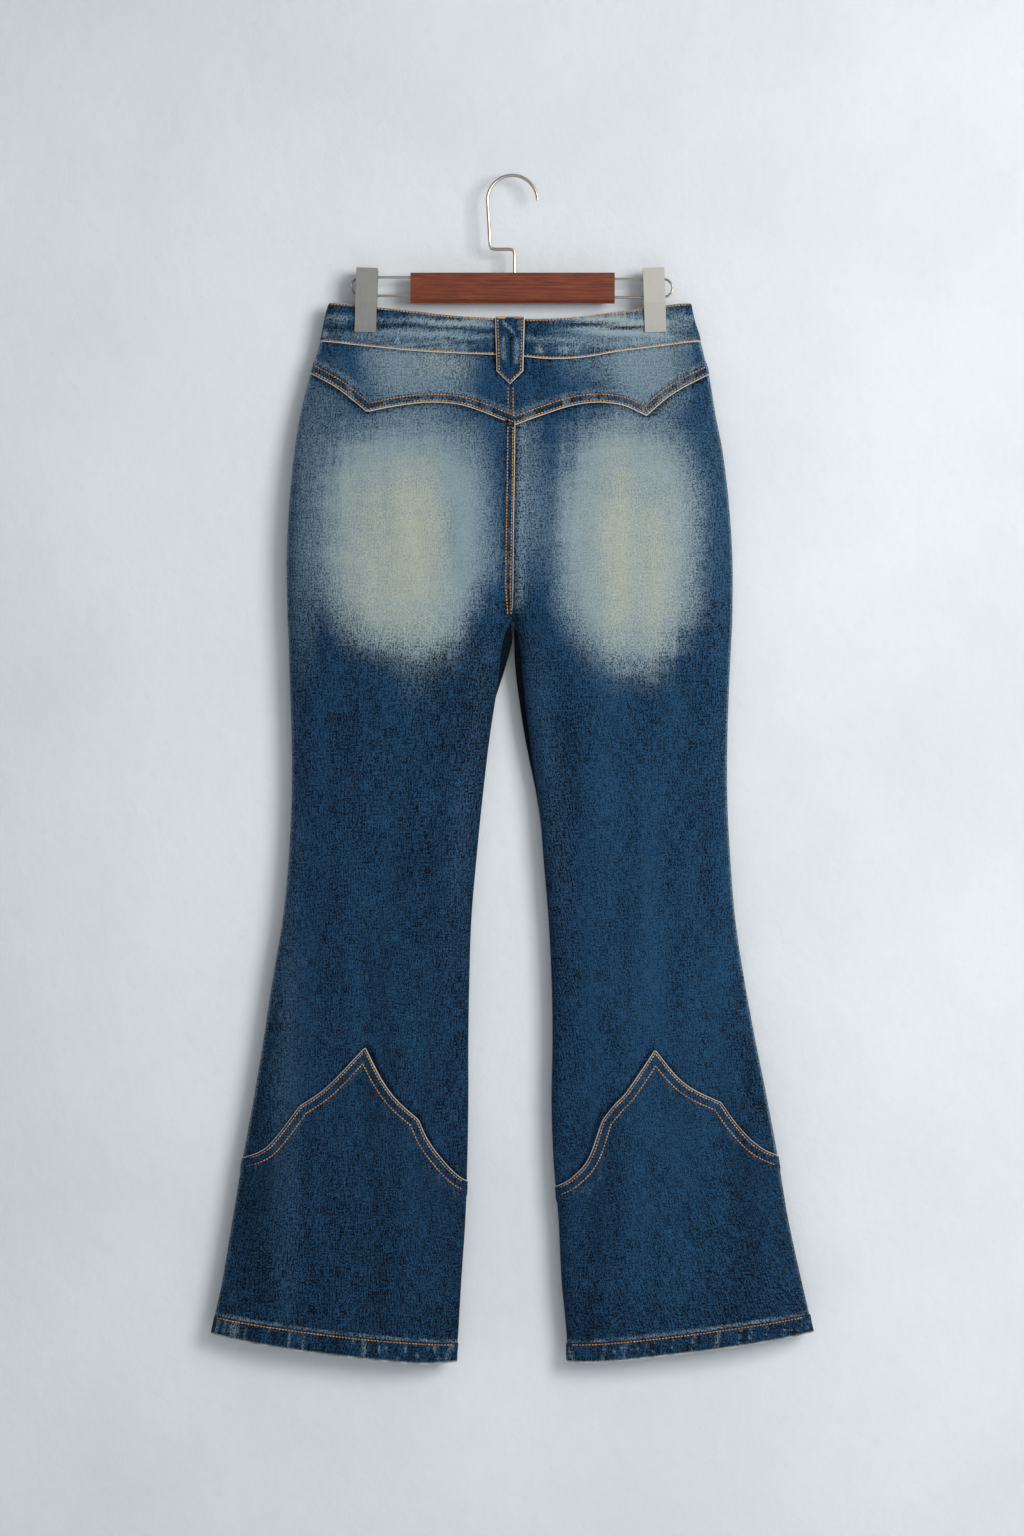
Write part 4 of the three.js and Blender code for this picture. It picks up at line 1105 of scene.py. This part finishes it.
def hem(side):
    stops = np.concatenate([[0, 0.03, 0.08, 0.15], np.linspace(0.22, 0.86, 8), [0.92, 0.96, 1]])
    across = spread(250, SIDE_COLUMNS, SIDE_COLUMNS, 2.4)

    def places_of(face):
        return across[1:][::-1] if face == "back" else across[:-1]

    grid = band_rows(side, [("back", hem_top, hem_bottom), ("front", hem_top, hem_bottom)],
                     places_of, stops)
    x = band_points(side, grid, 0.0)[..., 0]
    stop = np.broadcast_to(stops[:, None], x.shape)
    slanting = x + 4 * stop
    rope = pucker_waves[6.5](slanting) * 0.75 + pucker_waves[3.5](slanting + 200) * 0.35
    body = np.sin(np.pi * np.clip(stop * 1.05, 0, 1)) ** 0.6
    rounded = 0.5 * (1 - smoothstep(np.minimum(stop, 1 - stop) * HEM_TALL, 0, 1.5))
    height = PROUD - rounded + 0.75 * rope * body
    light = np.clip(1 - np.abs(pucker_waves[6.5](slanting)) / 0.16, 0, 1) * body * 0.35
    wear_line = 1 - smoothstep((1 - stop) * HEM_TALL, 0.5, 2.2)
    wear_line = wear_line * (0.75 + 0.3 * pucker_waves[6.5](x))
    # The wash mask follows the ropes: painted light where they stand up and painted shade between
    # them.
    masks = {"wash": 0.12 + 0.4 * rope * body, "rub": light, "edge": np.clip(wear_line, 0, 1) * 0.8}
    add_band(f"hem_{side}", side, grid, height, masks, ring=True)


for side in SIGN:
    waistband(side)
    hem(side)
print("bands:", len(pieces) - 8)

# %% [markdown]
# ## Belt loop and fly
# The loop is a strip with both edges folded in. It is sewn down at its top and at its point, and
# stands off between them, with a crease down the middle and several short ones beside it. The fly is
# on the side that the photograph doesn't show, so it is kept plain.

# %% Small cloth pieces
LOOP_BULGE = 1.6
LOOP_CLOTH = 1.5
# The loop steps down off the waistband's lower edge between these levels
LOOP_STEP = (181, 190)
FLY_WIDE, FLY_TOP, FLY_STRAIGHT, FLY_LOW = 38.0, 207.0, 267.0, 352.0
FLY_FACE = 1.7
FLY_BACK = 0.7
FLY_CENTRE = 1
# Creases of the loop, as across and along from its middle and top, for both ends, width and height
LOOP_CREASES = [
    (-7, 5, 4, 18, 1.5, 0.9), (-6.5, 20, -6.2, 44, 2.4, 0.7), (6.8, 22, 6.4, 48, 2.4, 0.8),
    (0.4, 22, 0.2, 52, 1.4, -1.1), (-4, 13, 3, 24, 1.4, -0.8), (9, 4, 10, 15, 1.6, 0.5),
    (-9, 50, -3, 55, 1.5, -0.6), (9, 49, 3, 55, 1.5, -0.6), (-10, 16, -5, 12, 1.3, -0.5),
]


def loop_half(down):
    """The loop narrows a little towards its point."""
    return LOOP_HALF - 1.3 * smoothstep(down, LOOP_TOP, LOOP_SHOULDER)


def loop_creases(x, down):
    across, along = x - LOOP_MIDDLE, down - LOOP_TOP
    return sum(crease(across, along, row, -2, 3) for row in LOOP_CREASES)


def loop_off(x, down):
    stop = np.clip((down - LOOP_TOP) / (LOOP_TIP - LOOP_TOP), 0, 1)
    off = 0.3 + PROUD * (1 - smoothstep(down, *LOOP_STEP)) + LOOP_BULGE * np.sin(np.pi * stop) ** 2
    inside = 1 - np.abs((x - LOOP_MIDDLE) / LOOP_HALF) ** 3
    return off + loop_creases(x, down) * np.clip(2 * np.sin(np.pi * stop) * inside, 0, 1)


def belt_loop():
    near_side = np.array([0, 0.03, 0.08, 0.16])
    near_end = np.array([0, 0.012, 0.03])
    shares = np.concatenate([near_side - 1, np.linspace(-0.74, 0.74, 21), 1 - near_side[::-1]])
    stops = np.concatenate([near_end, np.linspace(0.05, 0.95, 44), 1 - near_end[::-1]])
    tip = LOOP_TIP - (LOOP_TIP - LOOP_SHOULDER) * np.abs(shares)
    down = LOOP_TOP + (tip - LOOP_TOP) * stops[:, None]
    x = LOOP_MIDDLE + shares * loop_half(down)
    rim = np.minimum(LOOP_HALF * (1 - np.abs(shares)), np.minimum(tip - down, down - LOOP_TOP))
    base = loop_off(x, down)
    height = LOOP_CLOTH - 0.6 * (1 - smoothstep(rim, 0, 1.1)) + puckers(down, rim, 6.5, 6, 0.25)
    # Crests of the creases are paler, partly wear and partly painted highlight. Their troughs get
    # painted shade, and a painted shadow line runs just inside the rim.
    crests = np.clip(loop_creases(x, down) * 0.45, 0, 0.5)
    wash = 0.6 - 0.9 * np.clip(-loop_creases(x, down), 0, 1) - 0.4 * painted_shadow_line(rim - 1.2, 1.2)
    masks = {"rub": crests * (1 - fold_edge(rim - 1.5)), "edge": fold_edge(rim), "wash": wash}
    outer = on_cloth("back", x, down, base + height)
    inner = on_cloth("back", x, down, base)
    pieces["belt_loop"] = wall_mesh("belt_loop", outer, inner, masks)


def fly():
    shares = np.linspace(-1, 0, 26)
    low = FLY_STRAIGHT + (FLY_LOW - FLY_STRAIGHT) * np.sqrt(1 - shares**2)
    top = front_bottom(shares * FLY_WIDE) + 0.3
    down = top + (low - top) * np.linspace(0, 1, 60)[:, None]
    x = np.broadcast_to(shares * FLY_WIDE, down.shape)
    face_x = x + FLY_CENTRE + shares
    outer = on_cloth("front", face_x, down, FLY_FACE + 0.12 * wobble(x, down))
    inner = on_cloth("front", face_x, down, FLY_BACK)
    rim = np.minimum(FLY_WIDE * (1 + shares), low - down)
    pieces["fly"] = wall_mesh("fly", outer, inner, {"edge": fold_edge(rim) * 0.7})


belt_loop()
fly()
print("cloth pieces:", len(pieces))

# %% [markdown]
# ## Topstitching
# Orange-tan thread runs along the waistband, the yoke, the centre back, the calf seams, the hems, the
# belt loop and the fly. Each stitch is a small flattened bead laid along the cloth, with a short gap
# after it, so a row reads as dots from far away. All beads of one face are joined into one mesh.

# %% Stitch rows
STITCH_LONG = 2.5
STITCH_STEP = 3.15
STITCH_WIDE = 0.58
STITCH_HIGH = 0.3
THREAD_LIFT = 0.2


def bead():
    """A flattened bead along x, as points and faces: two tips and three rings."""
    around = [(math.cos(a), math.sin(a)) for a in np.arange(6) * math.pi / 3]
    points = [(-0.5, 0, 0)]
    for along, size in ((-0.34, 0.75), (0.0, 1.0), (0.34, 0.75)):
        points += [(along, size * c, size * s) for c, s in around]
    points.append((0.5, 0, 0))
    faces = [(0, 1 + (i + 1) % 6, 1 + i) for i in range(6)]
    for ring in (1, 7):
        faces += [(ring + i, ring + (i + 1) % 6, ring + 6 + (i + 1) % 6) for i in range(6)]
        faces += [(ring + i, ring + 6 + (i + 1) % 6, ring + 6 + i) for i in range(6)]
    faces += [(19, 13 + i, 13 + (i + 1) % 6) for i in range(6)]
    return np.array(points), np.array(faces)


BEAD_POINTS, BEAD_FACES = bead()
sewn = {"back": [], "front": []}


def row_shift(points, distance):
    """A line moved sideways by a distance, in x and down."""
    run = np.gradient(points, axis=0)
    run /= np.linalg.norm(run, axis=1)[:, None] + 1e-9
    return points + distance * np.stack([-run[:, 1], run[:, 0]], axis=1)


def sew(face, points, off, step=STITCH_STEP, long=STITCH_LONG, wide=STITCH_WIDE):
    """Lay stitches along a line of (x, down) points. off is a number or a function of x and down."""
    points = np.asarray(points, float)
    lengths = np.concatenate([[0], np.cumsum(np.linalg.norm(np.diff(points, axis=0), axis=1))])
    count = int(lengths[-1] / step)
    if count < 1:
        return
    middles = (np.arange(count) + 0.5) * lengths[-1] / count + rng.uniform(-0.12, 0.12, count)

    def at(distance):
        x = np.interp(distance, lengths, points[:, 0])
        down = np.interp(distance, lengths, points[:, 1])
        height = off(x, down) if callable(off) else off
        return on_cloth(face, x, down, height + THREAD_LIFT)

    run = at(middles + long / 2) - at(middles - long / 2)
    length = np.linalg.norm(run, axis=1)[:, None]
    run = run / length
    outward = np.zeros_like(run)
    outward[:, 1] = -1 if face == "back" else 1
    across = np.cross(run, outward)
    across /= np.linalg.norm(across, axis=1)[:, None]
    outward = np.cross(across, run)
    size = rng.uniform(0.9, 1.1, (count, 1, 1))
    beads = (at(middles)[:, None] + BEAD_POINTS[None, :, :1] * length[:, None] * run[:, None]
             + BEAD_POINTS[None, :, 1:2] * wide * size * across[:, None]
             + BEAD_POINTS[None, :, 2:3] * STITCH_HIGH * size * outward[:, None])
    sewn[face].append(beads)


def line_points(line, low, high, shift=0.0, count=400):
    """Points on a seam line between two places, moved down (or up, if shift is negative)."""
    x = np.linspace(low, high, count)
    points = np.stack([x, line(x)], axis=1)
    return row_shift(points, shift) if shift else points


def turning_row(line, low, high, corners, shift):
    """A row beside a line with sharp corners, without the ends that would cross at a corner."""
    stops = [low, *corners, high]
    row = np.concatenate([line_points(line, start + 1e-3, end - 1e-3, shift, 160)
                          for start, end in zip(stops, stops[1:])])
    seam = line_points(line, low, high)
    nearest = np.linalg.norm(row[:, None] - seam[None], axis=2).min(axis=1)
    return row[nearest > 0.95 * abs(shift)]


def trimmed(points, keep):
    """The part of a line between its first and last kept point."""
    kept = np.flatnonzero(keep(points[:, 0], points[:, 1]))
    return points[kept[0]:kept[-1] + 1]


def between(edges_of, margin):
    """A test for points that lie at least a margin inside two edges."""
    def keep(x, down):
        one, other = edges_of(down)
        return (x > np.minimum(one, other) + margin) & (x < np.maximum(one, other) - margin)
    return keep


def loop_face(x, down):
    """Height of the belt loop under its stitches."""
    return loop_off(x, down) + LOOP_CLOTH - 0.05


def lapped(x, down):
    """Height of the cloth under a row that holds a lapped edge."""
    return LAP + waves(x, down)


# Both edges of the waistband, on the back as far as the belt loop
LOOP_CLEAR = 1.4
WAIST_LEFT, WAIST_RIGHT = -200, 195
waist_spans = {
    "back": ((WAIST_LEFT, LOOP_LEFT - LOOP_CLEAR), (LOOP_RIGHT + LOOP_CLEAR, WAIST_RIGHT)),
    "front": ((WAIST_LEFT, WAIST_RIGHT),),
}
on_jeans = between(lambda down: (outline["left_out"](down), outline["right_out"](down)), 1.0)
for face, top, bottom in (("back", waist_top, waist_bottom), ("front", front_top, front_bottom)):
    for low, high in waist_spans[face]:
        sew(face, trimmed(line_points(top, low, high, 1.7), on_jeans), PROUD)
        sew(face, trimmed(line_points(bottom, low, high, -1.6), on_jeans), PROUD)

# The yoke, the calf seams and the hems
for shift in YOKE_ROWS:
    yoke_row = turning_row(yoke_edge, -215, 215, YOKE_CORNERS, -shift)
    sew("back", trimmed(yoke_row, on_jeans), lapped)
for side, low, high, hem_span in (("left", -290, -40, (-315, -20)), ("right", 36, 285, (20, 315))):
    on_leg = between(lambda down, side=side: side_edges(side, down), 1.2)
    for shift in CALF_ROWS:
        calf_row = turning_row(calf[side], low, high, CALF_CORNERS[side], shift)
        sew("back", trimmed(calf_row, on_leg), lapped)
    for face in ("back", "front"):
        sew(face, trimmed(line_points(hem_top, *hem_span, 1.2), on_leg), PROUD)

# The centre back, above the yoke's edge and below it
centre_down = np.linspace(211, CROTCH - 5, 300)
centre_x = outline["left_in"](centre_down)
meets_crotch = smoothstep(centre_down, CROTCH - 40, CROTCH)
yoke_point = float(yoke_edge(3))
for aside in CENTRE_ROWS:
    row = np.stack([centre_x - aside * (1 - 0.35 * meets_crotch), centre_down], axis=1)
    for part in (row[centre_down < yoke_point - 10], row[centre_down > yoke_point + 1]):
        sew("back", part, lapped)

# The belt loop: both sides, the point and a bar tack on each side of its top
LOOP_INSET = 2.6
loop_down = np.linspace(LOOP_TOP + 3, LOOP_SHOULDER, 80)
for sign in (-1, 1):
    x = LOOP_MIDDLE + sign * (loop_half(loop_down) - LOOP_INSET)
    sew("back", np.stack([x, loop_down], axis=1), loop_face)
    shoulder = (LOOP_MIDDLE + sign * (loop_half(LOOP_SHOULDER) - LOOP_INSET), LOOP_SHOULDER)
    sew("back", [shoulder, (LOOP_MIDDLE + sign * 0.4, LOOP_TIP - LOOP_INSET * 1.3)], loop_face)
    tack = [(LOOP_MIDDLE + sign * 12.5, LOOP_TOP + 1.7), (LOOP_MIDDLE + sign * 4.2, LOOP_TOP + 1.9)]
    sew("back", tack, loop_face, step=1.0, long=1.6, wide=0.8)

# The fly
fly_turn = np.linspace(0, math.pi / 2, 60)
for aside in (3.0, 9.0):
    half, low = FLY_WIDE - aside, FLY_LOW - aside
    turn_down = FLY_STRAIGHT + (low - FLY_STRAIGHT) * np.sin(fly_turn)
    turn = np.stack([-half * np.cos(fly_turn), turn_down], axis=1)
    straight = np.array([(-half, FLY_TOP), (-half, FLY_STRAIGHT - 1)])
    sew("front", np.concatenate([straight, turn]), FLY_FACE)


def joined(name, beads):
    beads = np.concatenate(beads)
    count = len(beads)
    first_points = len(BEAD_POINTS) * np.arange(count)[:, None, None]
    faces = (BEAD_FACES[None] + first_points).reshape(-1, 3)
    mesh = bpy.data.meshes.new(name)
    mesh.from_pydata((beads.reshape(-1, 3) * MM).tolist(), [], faces.tolist())
    mesh.polygons.foreach_set("use_smooth", np.ones(len(faces), bool))
    mesh.materials.append(thread_paint)
    print(name, count, "stitches")
    return add_object(name, mesh)


def thread():
    material, tree, shader, _ = new_material("thread")
    position = tree.add("TexCoord").outputs["Object"]
    tint = tree.noise(position, (130, 130, 130), detail=2)
    color = tree.mix(tree.ramp(tint, 0.35, 0.65), srgb(178, 110, 30), srgb(230, 158, 66))
    tree.give(shader, Base_Color=color, Roughness=0.62, Sheen_Weight=0.1)
    return material


thread_paint = thread()
for face in sewn:
    pieces[f"stitching_{face}"] = joined(f"stitching_{face}", sewn[face])

# %% [markdown]
# ## Wood, wire and clips
# The hanger and the button keep their solids as they are. Materials give the wood a fine grain and
# a satin stain, and the nickel a brushed, slightly uneven gloss.

# %% Hanger materials


def stained_wood():
    material, tree, shader, _ = new_material("stained_wood")
    position = tree.add("TexCoord").outputs["Object"]
    grain = tree.noise(position, (28, 150, 520), detail=5, roughness=0.65)
    pores = tree.noise(position, (260, 900, 1500), detail=2)
    broad = tree.noise(position, (22, 30, 60), detail=2)
    color = tree.mix(tree.ramp(grain, 0.32, 0.68), srgb(84, 30, 12), srgb(134, 60, 28))
    color = tree.mix(tree.ramp(broad, 0.35, 0.7, 0.0, 0.45), color, srgb(104, 42, 20))
    color = tree.mix(tree.ramp(pores, 0.58, 0.7, 0.0, 0.5), color, srgb(60, 26, 16))
    tree.give(shader, Base_Color=color, Roughness=0.42, Specular_IOR_Level=0.3,
              Coat_Weight=0.06, Coat_Roughness=0.3)
    tree.bump(shader, grain, strength=0.2, distance=0.0003)
    return material


def metal(name, color, roughness, speckle=0.0):
    material, tree, shader, _ = new_material(name)
    position = tree.add("TexCoord").outputs["Object"]
    smear = tree.noise(position, (220, 220, 60), detail=3)
    spots = tree.noise(position, (900, 900, 700), detail=1)
    dark = tuple(channel * 0.55 for channel in color[:3]) + (1.0,)
    speckled = tree.mix(tree.ramp(spots, 0.66, 0.74, 0.0, speckle), color, dark)
    uneven = tree.ramp(smear, 0.3, 0.7, roughness - 0.06, roughness + 0.08)
    tree.give(shader, Base_Color=speckled, Roughness=uneven, Metallic=1.0)
    return material


wood_paint = stained_wood()
wire_paint = metal("nickel_wire", srgb(184, 176, 166), 0.36)
# Lit and shaded copies of one nickel: painted shade makes the left clip darker than the right.
clip_paint_lit_and_shaded = {"left": metal("nickel_clip_left", srgb(142, 141, 137), 0.44, speckle=0.5),
              "right": metal("nickel_clip_right", srgb(166, 164, 157), 0.42, speckle=0.5)}
button_paint = metal("aged_brass", srgb(150, 112, 70), 0.4)
print("hanger materials ready")

# %% Dress the frame
NODE_PAINT = {"hanger_bar": wood_paint, "hook": wire_paint, "button": button_paint}
for side in SIGN:
    NODE_PAINT[f"rail_wire_{side}"] = wire_paint
    NODE_PAINT[f"clip_saddle_{side}"] = wire_paint
    NODE_PAINT[f"clip_jaw_back_{side}"] = clip_paint_lit_and_shaded[side]
    NODE_PAINT[f"clip_jaw_front_{side}"] = clip_paint_lit_and_shaded[side]
for name, paint in NODE_PAINT.items():
    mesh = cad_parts[name].data
    mesh.materials.clear()
    mesh.materials.append(paint)

for name, piece in pieces.items():
    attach(piece, "root")
    if not name.startswith("stitching"):
        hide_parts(name)


def square_metres(name):
    """Half the surface of a piece, which is about the area of its face."""
    mesh = pieces[name].data
    return sum(polygon.area for polygon in mesh.polygons) / 2


for name in pieces:
    if not name.startswith("stitching"):
        print(name, round(square_metres(name), 4), "square metres")

# %% [markdown]
# The area of every piece of cloth is printed above, since few of the cuts are rectangles. For a band
# it is what shows of it, all the way round.

# %% Finish
for side in SIGN:
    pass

bpy.context.view_layer.update()
print("dressed:", len(pieces), "pieces")
